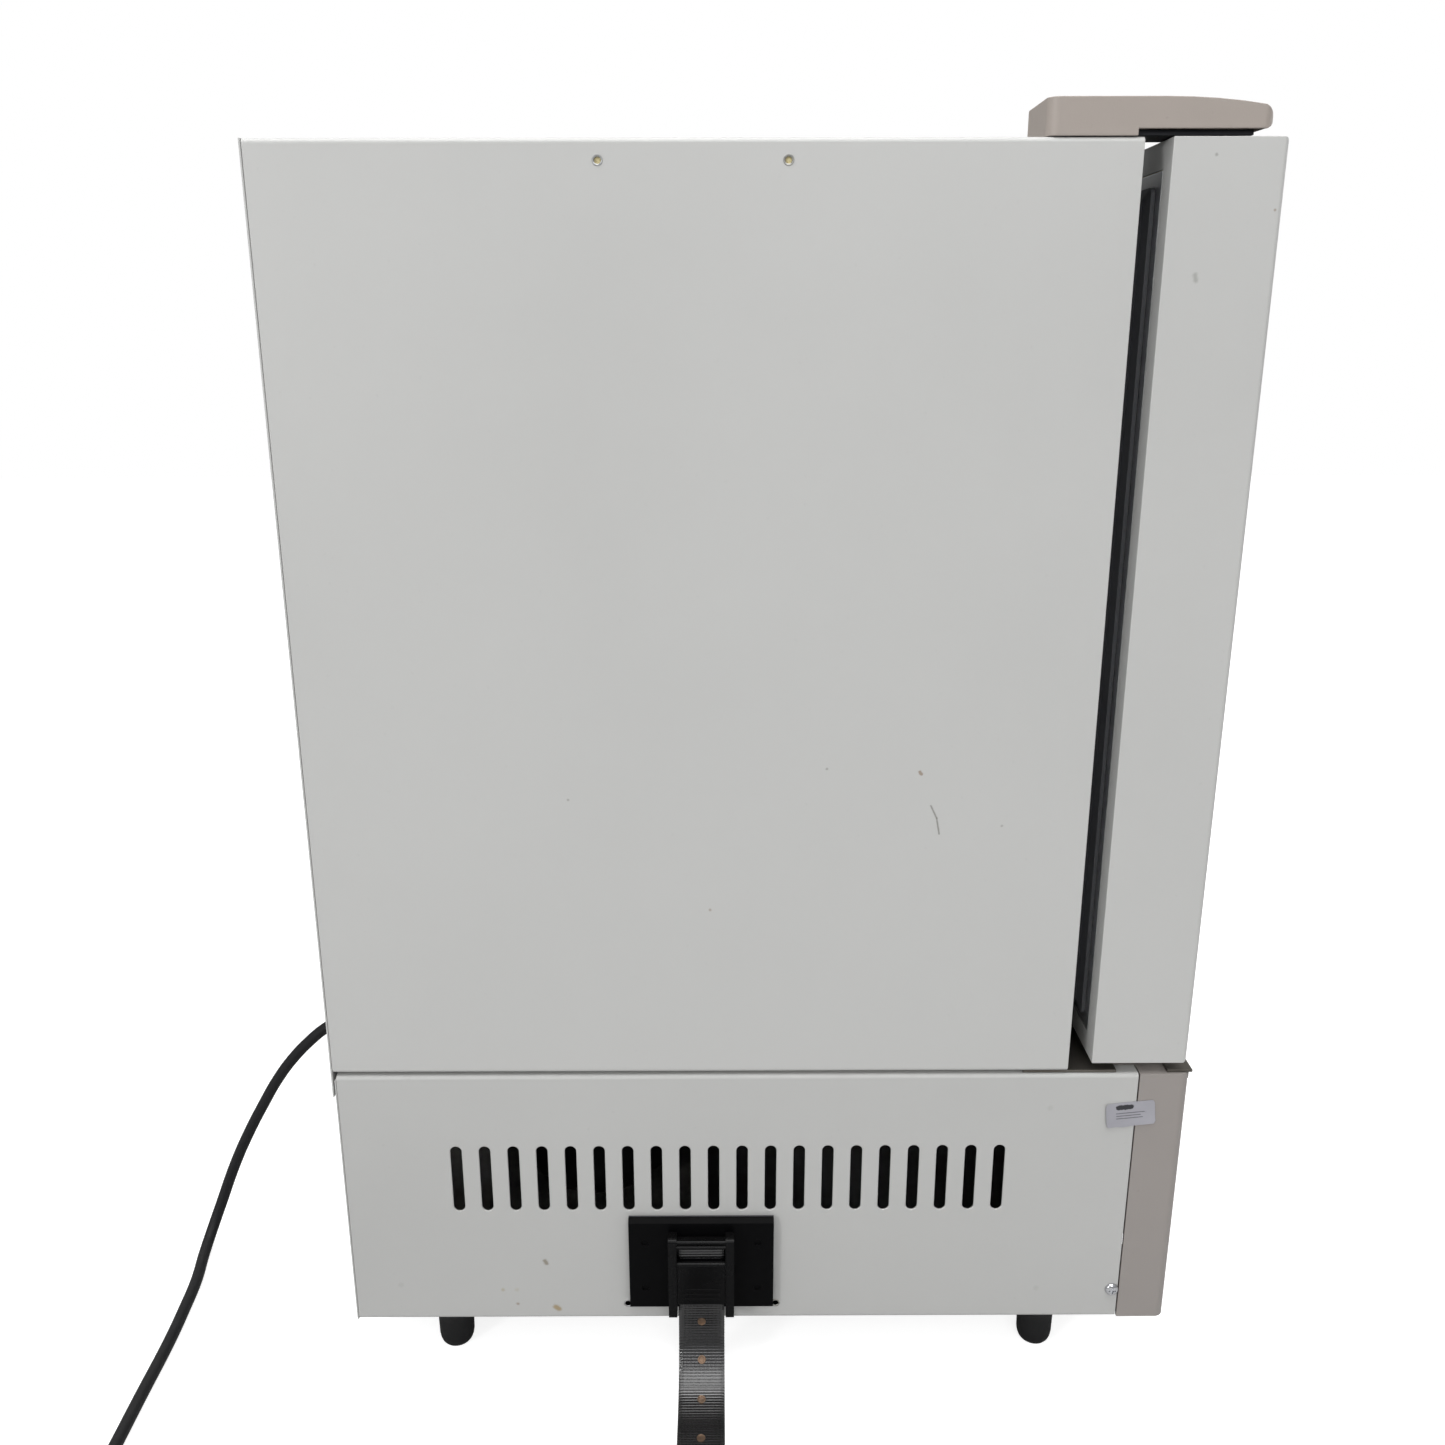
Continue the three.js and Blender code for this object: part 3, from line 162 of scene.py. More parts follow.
room = bpy.data.worlds.new("white_room")
bpy.context.scene.world = room
room.use_nodes = True
tree = room.node_tree
tree.nodes.clear()
seen = node(tree, "ShaderNodeLightPath").outputs["Is Camera Ray"]
white = sha(tree, "Background", Color=(1, 1, 1, 1), Strength=1.0)
way = node(tree, "ShaderNodeSeparateXYZ", Vector=node(tree, "ShaderNodeTexCoord").outputs["Generated"])
overhead_share = sha(tree, "MapRange", inputs=[way.outputs["Z"], -0.1, 0.9, 0.18, 0.68])
glow = sha(tree, "Background", Color=(0.98, 0.99, 1, 1), Strength=overhead_share)
mixed = sha(tree, "MixShader", inputs=[seen, glow, white])
node(tree, "ShaderNodeOutputWorld", inputs=[mixed])


def soft_light(name, place, target, size, power):
    data = bpy.data.lights.new(name, "AREA")
    data.shape, data.size, data.energy = "DISK", size, power
    light = placed(name, data)
    light.location = place
    light.rotation_euler = (Vector(target) - Vector(place)).to_track_quat("-Z", "Y").to_euler()


soft_light("overhead", (-0.5, 0.1, 2.9), (0, 0, 0.4), 2.6, 60)
soft_light("key", (-3.5, 3.0, 1.9), (-0.28, -0.05, 0.45), 0.8, 56)
soft_light("fill", (-2.9, -0.6, 2.2), (-0.28, -0.02, 0.7), 1.5, 22)
soft_light("front", (1.3, -3.3, 1.9), (0.05, -0.3, 0.45), 1.4, 26)
bpy.context.scene.view_settings.view_transform = "Standard"

# ---- Power lead ----
# A round rubber mains lead, 9 mm thick and 2.1 m long. It leaves the back of the lower
# compartment, hangs down to the table and runs off to the left. The rest is wound in a neat coil.
LEAD_DIAMETER = 0.009
lead_points = [
    (-0.129, 0.312, 0.2003), (-0.129, 0.318, 0.200), (-0.129, 0.332, 0.198), (-0.129, 0.346, 0.1905),
    (-0.129, 0.361, 0.178), (-0.129, 0.377, 0.161), (-0.129, 0.391, 0.142), (-0.129, 0.403, 0.122),
    (-0.130, 0.418, 0.095), (-0.132, 0.432, 0.066), (-0.138, 0.446, 0.030), (-0.150, 0.452, 0.011),
    (-0.168, 0.4515, 0.0052), (-0.199, 0.446, 0.0049), (-0.232, 0.443, 0.0049),
    (-0.264, 0.441, 0.0049), (-0.319, 0.440, 0.0049), (-0.360, 0.439, 0.0049),
    (-0.408, 0.438, 0.0049),
]
COIL_CENTRE = Vector((-0.446, 0.3885))
INNER_TURN, OUTER_TURN = 0.0405, 0.0495
LAYERS = (0.0049, 0.0139, 0.0229)
# The turns in the order in which they are wound, with the angle at which each one ends.
coil_turns = [
    (OUTER_TURN, LAYERS[0], 410), (INNER_TURN, LAYERS[0], 730), (INNER_TURN, LAYERS[1], 1050),
    (INNER_TURN, LAYERS[2], 1370), (OUTER_TURN, LAYERS[2], 1690), (OUTER_TURN, LAYERS[1], 9999),
]
COIL_START, COIL_END, COIL_STEP, CROSSING = 90, 1980, 15, 30


def eased(t):
    t = min(1, max(0, t))
    return t * t * (3 - 2 * t)


for angle in range(COIL_START, COIL_END + 1, COIL_STEP):
    radius, height = coil_turns[0][:2]
    for before, after in zip(coil_turns, coil_turns[1:]):
        share = eased((angle - before[2] + CROSSING) / (2 * CROSSING))
        radius += share * (after[0] - before[0])
        height += share * (after[1] - before[1])
    turn = math.radians(angle)
    lead_points.append((
        COIL_CENTRE.x + radius * math.cos(turn), COIL_CENTRE.y + radius * math.sin(turn), height,
    ))
PLUG_BACK = Vector((COIL_CENTRE.x - OUTER_TURN, COIL_CENTRE.y - 0.048, 0.014))
lead_points += [
    (PLUG_BACK.x, COIL_CENTRE.y - 0.016, 0.0139), (PLUG_BACK.x, COIL_CENTRE.y - 0.033, 0.014),
    (PLUG_BACK.x, PLUG_BACK.y - 0.004, 0.014),
]


def smooth_curve(name, points, radius, material, cyclic=False):
    data = bpy.data.curves.new(name, "CURVE")
    data.dimensions = "3D"
    data.bevel_depth, data.bevel_resolution = radius, 5
    data.resolution_u = 5
    data.use_fill_caps = not cyclic
    spline = data.splines.new("BEZIER")
    spline.bezier_points.add(len(points) - 1)
    spline.use_cyclic_u = cyclic
    for knot, place in zip(spline.bezier_points, points):
        knot.co = place
        knot.handle_left_type = knot.handle_right_type = "AUTO"
    data.materials.append(material)
    return placed(name, data)


def group_tree(name, kind, inputs, outputs):
    """A node group with named sockets, each given as (name, type) or (name, type, value)."""
    made = bpy.data.node_groups.new(name, kind)
    for label, socket, *value in inputs:
        added = made.interface.new_socket(label, in_out="INPUT", socket_type="NodeSocket" + socket)
        if value:
            added.default_value = value[0]
    for label, socket in outputs:
        made.interface.new_socket(label, in_out="OUTPUT", socket_type="NodeSocket" + socket)
    return made, made.nodes.new("NodeGroupInput").outputs, made.nodes.new("NodeGroupOutput").inputs


# Fine moulded or sprayed grain, with slow patches of tone and small specks. It is shared by the
# paint, the plastics and the rubber.
grain, given, result = group_tree(
    "fine_grain", "ShaderNodeTree",
    [("Vector", "Vector"), ("Grain size", "Float", 0.001), ("Patch size", "Float", 0.1)],
    [("Height", "Float"), ("Patches", "Float"), ("Specks", "Float")],
)
per_grain = maths(grain, "DIVIDE", 1.0, given["Grain size"])
per_patch = maths(grain, "DIVIDE", 1.0, given["Patch size"])
fine = node(grain, "ShaderNodeTexNoise", Vector=given["Vector"], Scale=per_grain, Detail=3.0, Roughness=0.6)
slow = node(grain, "ShaderNodeTexNoise", Vector=given["Vector"], Scale=per_patch, Detail=4.0, Roughness=0.55)
speck = node(grain, "ShaderNodeTexNoise", Vector=given["Vector"], Scale=230.0, Detail=2.0)
speck_mask = sha(grain, "MapRange", inputs=[speck.outputs["Fac"], 0.70, 0.78, 0.0, 1.0])
patch_mask = sha(grain, "MapRange", inputs=[slow.outputs["Fac"], 0.3, 0.7, 0.0, 1.0])
grain.links.new(fine.outputs["Fac"], result["Height"])
grain.links.new(patch_mask, result["Patches"])
grain.links.new(speck_mask, result["Specks"])

# Dust that settles on faces that look up, and thins out on the others.
dust, given, result = group_tree(
    "settled_dust", "ShaderNodeTree", [("Vector", "Vector"), ("Amount", "Float", 0.3)],
    [("Mask", "Float")],
)
faced = node(dust, "ShaderNodeSeparateXYZ", Vector=node(dust, "ShaderNodeNewGeometry").outputs["Normal"])
upward = sha(dust, "MapRange", inputs=[faced.outputs["Z"], 0.4, 1.0, 0.0, 1.0])
cloud = node(dust, "ShaderNodeTexNoise", Vector=given["Vector"], Scale=38.0, Detail=6.0, Roughness=0.7)
cloudy = sha(dust, "MapRange", inputs=[cloud.outputs["Fac"], 0.35, 0.75, 0.2, 1.0])
laid = maths(dust, "MULTIPLY", upward, cloudy)
amount = maths(dust, "MULTIPLY", laid, given["Amount"])
dust.links.new(amount, result["Mask"])


def shade(colour, times):
    return tuple(min(1, c * times) for c in colour[:3]) + (1,)


def srgb(*levels):
    """A colour as it is seen, 0 to 255, as the linear values that a shader takes."""
    return tuple(
        c / 12.92 if c <= 0.04045 else ((c + 0.055) / 1.055) ** 2.4 for c in (v / 255 for v in levels)
    ) + (1,)


def mix_colour(tree, share, first, second):
    inputs = [share, None, None, None, None, None, first, second]
    return node(tree, "ShaderNodeMix", data_type="RGBA", inputs=inputs).outputs[2]


def use_group(tree, group, **values):
    return node(tree, "ShaderNodeGroup", node_tree=group, **values).outputs


def dusted(tree, place, amount, tone, colour=(0.42, 0.40, 0.37, 1)):
    """Lays dust over a tone, and gives its mask too."""
    mask = use_group(tree, dust, Vector=place, Amount=amount)["Mask"]
    return mask, mix_colour(tree, mask, tone, colour)


def coated(name, colour, rough, grain_size, relief, spread=0.05, dusty=0.15, patch=0.12,
           stroke_marks=(), specular=0.5):
    """Paint, plastic or rubber: grain in the relief, patches in tone and gloss, dust and marks."""
    material, tree, shader, place = new_material(name)
    skin = use_group(tree, grain, Vector=place, Grain_size=grain_size, Patch_size=patch)
    tone = mix_colour(tree, skin["Patches"], shade(colour, 1 - spread), shade(colour, 1 + spread))
    tone = mix_colour(tree, skin["Specks"], tone, shade(colour, 1 - 2.5 * spread))
    settled, tone = dusted(tree, place, dusty, tone)
    for start, end, width, fade, strength, ink in stroke_marks:
        mask = use_group(tree, stroke, Vector=place, Start=start, End=end, Width=width, Fade=fade,
                         Strength=strength)["Mask"]
        tone = mix_colour(tree, mask, tone, ink)
    gloss = sha(tree, "MapRange", inputs=[skin["Patches"], 0.0, 1.0, rough - 0.05, rough + 0.06])
    duller = maths(tree, "ADD", gloss, settled, clamp=True)
    bump = sha(tree, "Bump", Strength=1.0, Distance=relief, Height=skin["Height"])
    feed(shader, Base_Color=tone, Roughness=duller, Normal=bump, Specular_IOR_Level=specular)
    return material


rubber = coated("lead_rubber", srgb(22, 22, 24), 0.55, 0.0006, 0.00006, 0.15, 0.03, specular=0.25)
lead = smooth_curve("power_lead", lead_points, LEAD_DIAMETER / 2, rubber)

# ---- Strain relief and inlet bush ----
# A round nylon bush with a collar, and a ribbed sleeve that tapers along the lead, turned as one black nylon piece.
BUSH_CENTRE = Vector((-0.129, 0.0, 0.200))
REAR_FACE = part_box("lower_rear_panel")[1].y


def finished(name, mesh, body, material=None, replaces=(), smooth=35):
    """Puts a finished mesh in the scene as a piece that rides on a body."""
    mesh.name = name
    if material:
        mesh.materials.clear()
        mesh.materials.append(material)
        mesh.polygons.foreach_set("material_index", [0] * len(mesh.polygons))
    if smooth:
        mesh.shade_smooth()
        mesh.set_sharp_from_angle(angle=math.radians(smooth))
    piece = placed(name, mesh)
    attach(piece, body)
    if replaces:
        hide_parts(*replaces)
    return piece


def mesh_from(points, faces):
    mesh = bpy.data.meshes.new("shape")
    mesh.from_pydata([tuple(p) for p in points], [], faces)
    mesh.validate()
    mesh.update()
    return mesh


def tidied(build, mesh=None):
    """A mesh from a bmesh, with doubles merged and faces turned outwards."""
    bmesh.ops.remove_doubles(build, verts=build.verts, dist=1e-6)
    bmesh.ops.recalc_face_normals(build, faces=build.faces)
    mesh = mesh or bpy.data.meshes.new("shape")
    build.to_mesh(mesh)
    build.free()
    return mesh


def loft(rings, closed=False):
    """A body through rings of equally many points. Its ends are filled, or meet when it is closed."""
    build = bmesh.new()
    rows = [[build.verts.new(p) for p in ring] for ring in rings]
    for low, high in zip(rows, rows[1:] + rows[:closed]):
        for i in range(len(low)):
            j = (i + 1) % len(low)
            build.faces.new((low[i], low[j], high[j], high[i]))
    if not closed:
        build.faces.new(rows[0][::-1])
        build.faces.new(rows[-1])
    return tidied(build)


def lathe(profile, centre, along, sides=48):
    """Turns (radius, distance) pairs round the x, y or z axis through centre."""
    axes = {"x": (1, 2, 0), "y": (2, 0, 1), "z": (0, 1, 2)}[along]
    rings = []
    for radius, distance in profile:
        ring = []
        for i in range(sides):
            angle = 2 * math.pi * i / sides
            spot = [0, 0, 0]
            spot[axes[0]] = radius * math.cos(angle)
            spot[axes[1]] = radius * math.sin(angle)
            spot[axes[2]] = distance
            ring.append(Vector(spot) + Vector(centre))
        rings.append(ring)
    return loft(rings)


gland_profile = [(0.0085, 0.0003), (0.0128, 0.0003), (0.0130, 0.0008), (0.0130, 0.0042), (0.0124, 0.0050),
                 (0.0098, 0.0054), (0.0086, 0.0062)]
RIBS, RIB_PITCH, SLEEVE_END = 7, 0.0030, 0.030
for rib in range(RIBS):
    start = 0.0070 + rib * RIB_PITCH
    wide = 0.0082 - rib * 0.00030
    gland_profile += [(wide, start), (wide, start + 0.0014), (wide - 0.0010, start + 0.0018),
                      (wide - 0.0010, start + RIB_PITCH - 0.0004)]
gland_profile += [(0.0056, SLEEVE_END - 0.0014), (0.0052, SLEEVE_END), (0.0040, SLEEVE_END)]
black_nylon = coated("black_nylon", srgb(30, 30, 32), 0.42, 0.0008, 0.00005, spread=0.1, dusty=0.1)
gland = finished("lead_bush", lathe(gland_profile, BUSH_CENTRE + Vector((0, REAR_FACE, 0)), "y"), "machine",
                 black_nylon, ["cord_gland"], smooth=28)

# ---- Mains plug ----
# One moulded rubber body, oval in section, with grip ribs near the lead, two flat pins and a round
# earth pin.


def rounded_ring(half_x, half_z, power, centre, sides=40):
    ring = []
    for i in range(sides):
        c, s = math.cos(2 * math.pi * i / sides), math.sin(2 * math.pi * i / sides)
        ring.append(Vector((
            half_x * math.copysign(abs(c) ** (2 / power), c), 0,
            half_z * math.copysign(abs(s) ** (2 / power), s),
        )) + Vector(centre))
    return ring


plug_sections = [(0.0, 5.2, 5.2, 2), (0.4, 6.2, 6.2, 2)]
for rib in range(5):
    start = 1.6 + rib * 3.0
    plug_sections += [(start, 6.2, 6.2, 2), (start + 0.4, 5.5, 5.5, 2), (start + 1.2, 5.5, 5.5, 2),
                      (start + 1.6, 6.2, 6.2, 2)]
plug_sections += [(18, 7.4, 6.8, 2.2), (21, 11.5, 9.4, 2.6), (24.5, 14.4, 11.9, 3), (28, 15, 12.5, 3.4)]
for rib in range(4):
    start = 30 + rib * 3.2
    plug_sections += [(start, 15, 12.5, 3.4), (start + 0.5, 14.3, 11.8, 3.4),
                      (start + 1.4, 14.3, 11.8, 3.4), (start + 1.9, 15, 12.5, 3.4)]
plug_sections += [(44, 15, 12.5, 3.6), (50, 15, 12.5, 3.8), (51.4, 14.6, 12.1, 3.8), (52, 13.6, 11.2, 3.8)]
plug_rings = [rounded_ring(x / 1000, z / 1000, power, PLUG_BACK - Vector((0, y / 1000, 0)))
              for y, x, z, power in plug_sections]
plug = finished("mains_plug", loft(plug_rings), "machine", rubber, ["power_plug"], smooth=32)


def box_faces(build, low, high, bevel=0.0, segments=2):
    """Adds a box with softened edges to a bmesh."""
    made = bmesh.ops.create_cube(build, size=1)["verts"]
    for vertex in made:
        vertex.co = Vector([low[k] + (vertex.co[k] + 0.5) * (high[k] - low[k]) for k in range(3)])
    if bevel:
        edges = list({e for v in made for e in v.link_edges})
        bmesh.ops.bevel(build, geom=edges, offset=bevel, segments=segments, affect="EDGES", profile=0.5)


pins = bmesh.new()
for offset in (-0.0063, 0.0063):
    box_faces(pins, (PLUG_BACK.x + offset - 0.0008, PLUG_BACK.y - 0.0690, PLUG_BACK.z),
              (PLUG_BACK.x + offset + 0.0008, PLUG_BACK.y - 0.0505, PLUG_BACK.z + 0.0064), 0.0004)
pin_mesh = tidied(pins)
earth_pin = lathe([(0.0024, -0.0505), (0.0024, -0.0690), (0.0016, -0.0712), (0.0006, -0.0720)],
                  PLUG_BACK - Vector((0, 0, 0.006)), "y", 24)


def metal(name, colour, rough, streak=(1, 1, 1), streak_size=0.002, relief=0.00003, spread=0.12,
          patch=0.05, dusty=0.05, tarnish=None):
    """Bare metal: streaks or grain in its gloss, slow patches of tone, and dust."""
    material, tree, shader, place = new_material(name)
    drawn = sha(tree, "Mapping", Vector=place, Scale=streak)
    skin = use_group(tree, grain, Vector=drawn, Grain_size=streak_size, Patch_size=patch)
    tone = mix_colour(tree, skin["Height"], shade(colour, 1 - spread), shade(colour, 1 + spread))
    if tarnish:
        stains = use_group(tree, grain, Vector=place, Grain_size=0.004, Patch_size=patch)
        tone = mix_colour(tree, stains["Patches"], tone, tarnish)
    tone = dusted(tree, place, dusty, tone)[1]
    gloss = sha(tree, "MapRange", inputs=[skin["Height"], 0.2, 0.8, max(0.05, rough - 0.1), rough + 0.12])
    bump = sha(tree, "Bump", Strength=1.0, Distance=relief, Height=skin["Height"])
    feed(shader, Base_Color=tone, Metallic=1.0, Roughness=gloss, Normal=bump)
    return material


plated = metal("nickel_plate", srgb(205, 202, 192), 0.25, spread=0.05)
plug_pins = finished("plug_pins", pin_mesh, "machine", plated)
plug_earth = finished("plug_earth_pin", earth_pin, "machine", plated)

# ---- Tie round the coil ----
# A black woven hook-and-loop band, 12 mm wide, that goes once round the coil's bundle of turns.
TIE_ANGLE, TIE_WIDTH, TIE_THICK, TIE_GAP = 122, 0.012, 0.0012, 0.0006
tie_low = (INNER_TURN - LEAD_DIAMETER / 2 - TIE_GAP, 0.0003)
tie_high = (OUTER_TURN + LEAD_DIAMETER / 2 + TIE_GAP, LAYERS[2] + LEAD_DIAMETER / 2 + TIE_GAP)
TIE_CORNER = 0.004
tie_turn = math.radians(TIE_ANGLE)
along_tie = np.array([-math.sin(tie_turn), math.cos(tie_turn)])
out_tie = np.array([math.cos(tie_turn), math.sin(tie_turn)])
tie_rings = []
for x, z, first in ((tie_high[0] - TIE_CORNER, tie_high[1] - TIE_CORNER, 0),
                    (tie_low[0] + TIE_CORNER, tie_high[1] - TIE_CORNER, 90),
                    (tie_low[0] + TIE_CORNER, tie_low[1] + TIE_CORNER, 180),
                    (tie_high[0] - TIE_CORNER, tie_low[1] + TIE_CORNER, 270)):
    for step in range(7):
        angle = math.radians(first + step * 15)
        ring = []
        for side, lift in ((-1, 0), (1, 0), (1, 1), (-1, 1)):
            reach = TIE_CORNER + lift * TIE_THICK
            flat = out_tie * (x + math.cos(angle) * reach) + along_tie * side * TIE_WIDTH / 2
            ring.append((COIL_CENTRE.x + flat[0], COIL_CENTRE.y + flat[1],
                         max(0.0001, z + math.sin(angle) * reach)))
        tie_rings.append(ring)
hook_loop = coated("hook_and_loop", srgb(34, 34, 38), 0.9, 0.0005, 0.0003, spread=0.3, dusty=0.05)
lead_tie = finished("lead_tie", loft(tie_rings, True), "machine", hook_loop, smooth=50)

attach(lead, "machine")
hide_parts("power_cord", "power_cord_coil")

# ---- Strap ----
# Black ribbed polypropylene webbing, 33 mm wide, woven with cross ribs. It comes down from the
# buckle, turns outward and lies along the table. Small brass eyelets are pressed through it.
STRAP_WIDTH, STRAP_THICK, RIB = 0.033, 0.0020, 0.0021
strap_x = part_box("strap")[1].x - STRAP_THICK / 2
strap_route = [
    (strap_x + dx / 1000, 0.042, z / 1000) for dx, z in (
        (0, 106), (0, 90), (0, 70), (0, 52), (-1, 36), (-7, 20), (-20, 7.5), (-38, 2.2), (-60, 1.4),
        (-90, 1.4), (-130, 1.4), (-165, 1.4), (-190, 1.4))
]
STRAP_STEP = RIB / 4
guide = smooth_curve("strap_guide", strap_route, 0.0, rubber)
guide.data.resolution_u = 40
guide_mesh = guide.to_mesh()
guide_line = np.array([v.co for v in guide_mesh.vertices])
guide.to_mesh_clear()
bpy.data.objects.remove(guide)
guide_line = guide_line[np.r_[True, np.linalg.norm(np.diff(guide_line, axis=0), axis=1) > 1e-6]]
run = np.r_[0, np.cumsum(np.linalg.norm(np.diff(guide_line, axis=0), axis=1))]
STRAP_LENGTH = float(run[-1])
stations = np.arange(0, STRAP_LENGTH, STRAP_STEP)
strap_line = np.stack([np.interp(stations, run, guide_line[:, k]) for k in range(3)], 1)
strap_dir = np.gradient(strap_line, axis=0)
strap_dir /= np.linalg.norm(strap_dir, axis=1)[:, None]
strap_out = np.stack([strap_dir[:, 2], np.zeros(len(stations)), -strap_dir[:, 0]], 1)
strap_out *= np.sign(-strap_out[:1, 0])
rows = []
ACROSS = 15
for k, (spot, out) in enumerate(zip(strap_line, strap_out)):
    rib = 0.5 - 0.5 * math.cos(2 * math.pi * stations[k] / RIB)
    half = STRAP_THICK / 2 - 0.00033 + 0.00026 * rib
    ring = []
    for side in (1, -1):
        for i in range(ACROSS):
            share = (i / (ACROSS - 1) * 2 - 1) * side
            edge = math.sqrt(max(0.0, 1 - max(0.0, (abs(share) - 0.93) / 0.07) ** 2))
            ring.append(spot + out * side * half * (0.25 + 0.75 * edge)
                        + np.array([0, share * (STRAP_WIDTH / 2 - 0.0002 * (1 - rib)), 0]))
    rows.append(ring)
webbing, tree, shader, place = new_material("ribbed_webbing")
threads = node(tree, "ShaderNodeTexWave", wave_type="BANDS", bands_direction="Y", Vector=place,
               Scale=330.0, Distortion=0.4, Detail=1.0)
skin = use_group(tree, grain, Vector=place, Grain_size=0.0005, Patch_size=0.03)
tone = mix_colour(tree, threads.outputs["Fac"], srgb(4, 4, 6), srgb(12, 11, 13))
tone = mix_colour(tree, skin["Patches"], tone, srgb(9, 8, 10))
tone = dusted(tree, place, 0.04, tone, srgb(110, 106, 100))[1]
height = maths(tree, "ADD", threads.outputs["Fac"], skin["Height"])
bump = sha(tree, "Bump", Strength=1.0, Distance=0.00005, Height=height)
feed(shader, Base_Color=tone, Normal=bump, Roughness=0.15, Specular_IOR_Level=1.0)
strap = finished("webbing_strap", loft(rows), "machine", webbing, ["strap"], smooth=60)

# The eyelets: a ring with a closed, sunken middle, set along the strap at nearly equal steps.
EYELET_STATIONS = (0.0608, 0.0891, 0.1165, 0.1485, 0.1785, 0.2085, 0.2385)
EYELET_RADIUS = 0.0030


def evaluated_mesh(holder):
    """The mesh that an object's modifiers make. The object itself goes."""
    mesh = bpy.data.meshes.new_from_object(holder.evaluated_get(bpy.context.evaluated_depsgraph_get()))
    bpy.data.objects.remove(holder)
    return mesh


def tree_on(points, normals, group, name, values, carrier=None):
    """Runs a geometry node tree on a cloud of points that know which way they face."""
    mesh = carrier or mesh_from(points, [])
    if normals is not None:
        facing = mesh.attributes.new("facing", "FLOAT_VECTOR", "POINT")
        facing.data.foreach_set("vector", np.array(normals, np.float32).ravel())
    holder = placed(name, mesh)
    modifier = holder.modifiers.new("tree", "NODES")
    modifier.node_group = group
    sockets = {s.name: s.identifier for s in group.interface.items_tree if s.in_out == "INPUT"}
    for label, value in values.items():
        modifier[sockets[label]] = value
    return evaluated_mesh(holder)


def join(tree, *parts):
    """Joins meshes in a node tree."""
    joined = tree.nodes.new("GeometryNodeJoinGeometry")
    for part in parts:
        tree.links.new(part, joined.inputs[0])
    return joined.outputs[0]


def give_out(tree, geometry, given, result):
    """Makes the instances of a node tree real, gives them their finish and hands them out."""
    real = geo(tree, "RealizeInstances", Geometry=geometry)
    tree.links.new(geo(tree, "SetMaterial", Geometry=real, Material=given["Finish"]), result["Geometry"])


def turned_part_tree(name, outline, sides=24):
    """A tree that sets a turned part on every point, from the (radius, height) shares of its outline."""
    made, given, result = group_tree(
        name, "GeometryNodeTree",
        [("Points", "Geometry"), ("Radius", "Float", 0.003), ("Height", "Float", 0.001),
         ("Finish", "Material")], [("Geometry", "Geometry")],
    )
    parts = []
    for (r0, h0), (r1, h1) in zip(outline, outline[1:]):
        rise, base = (maths(made, "MULTIPLY", given["Height"], share) for share in (h1 - h0, h0))
        low, high = (maths(made, "MULTIPLY", given["Radius"], share) for share in (r0, r1))
        cone = geo(made, "MeshCone", fill_type="NONE", Vertices=sides,
                   Radius_Top=high, Radius_Bottom=low, Depth=rise)
        parts.append(geo(made, "Transform", Geometry=cone, Translation=sha(made, "CombineXYZ", Z=base)))
    welded = geo(made, "MergeByDistance", Geometry=join(made, *parts), Distance=1e-6)
    facing = geo(made, "InputNamedAttribute", data_type="FLOAT_VECTOR", Name="facing")
    turn = node(made, "FunctionNodeAlignRotationToVector", axis="Z", Vector=facing)
    set_out = geo(made, "InstanceOnPoints", Points=given["Points"], Instance=welded, Rotation=turn.outputs[0])
    give_out(made, set_out, given, result)
    return made


def outward(mesh):
    """The same mesh with its doubles merged and its faces turned outwards."""
    build = bmesh.new()
    build.from_mesh(mesh)
    return tidied(build, mesh)


def turned_parts(name, spots, ways, tree, radius, height, material, slot, replaces=(), smooth=40):
    """A piece of equal turned parts on the machine, one on every spot."""
    mesh = tree_on(spots, ways, tree, name, {"Radius": radius, "Height": height, "Finish": material})
    return finished(name, outward(mesh), "machine", replaces=replaces, smooth=smooth)


eyelet_tree = turned_part_tree("eyelets", [
    (0.0, -0.9), (1.0, -0.9), (1.0, 0.5), (0.93, 0.9), (0.78, 1.0), (0.64, 0.8), (0.58, 0.3), (0.0, 0.15),
])
eyelet_steps = [int(round(s / STRAP_STEP)) for s in EYELET_STATIONS]
eyelet_ways = [strap_out[k] for k in eyelet_steps]
eyelet_spots = [strap_line[k] + strap_out[k] * 0.0008 for k in eyelet_steps]
brown_metal = metal("browned_brass", srgb(168, 142, 120), 0.45, spread=0.3, dusty=0.1,
                    tarnish=srgb(96, 78, 66))
eyelets = turned_parts("strap_eyelets", eyelet_spots, eyelet_ways, eyelet_tree, EYELET_RADIUS, 0.0009,
                       brown_metal, "screw_chrome")

# ---- Marks in the paint ----
# The machine has been used: a curved scratch, rust-brown specks and grease stains. Three faint grey
# spots on the lower panels are painted shade for the raised spot-weld dimples. One node group gives
# the mask of a short soft stroke, and a spot is a stroke with both ends in one place.
stroke, given, result = group_tree(
    "stroke", "ShaderNodeTree",
    [("Vector", "Vector"), ("Start", "Vector"), ("End", "Vector"), ("Width", "Float", 0.001),
     ("Fade", "Float", 0.5), ("Strength", "Float", 1.0)], [("Mask", "Float")],
)


def vector_math(tree, operation, *inputs, out=0):
    return node(tree, "ShaderNodeVectorMath", operation=operation, inputs=inputs).outputs[out]


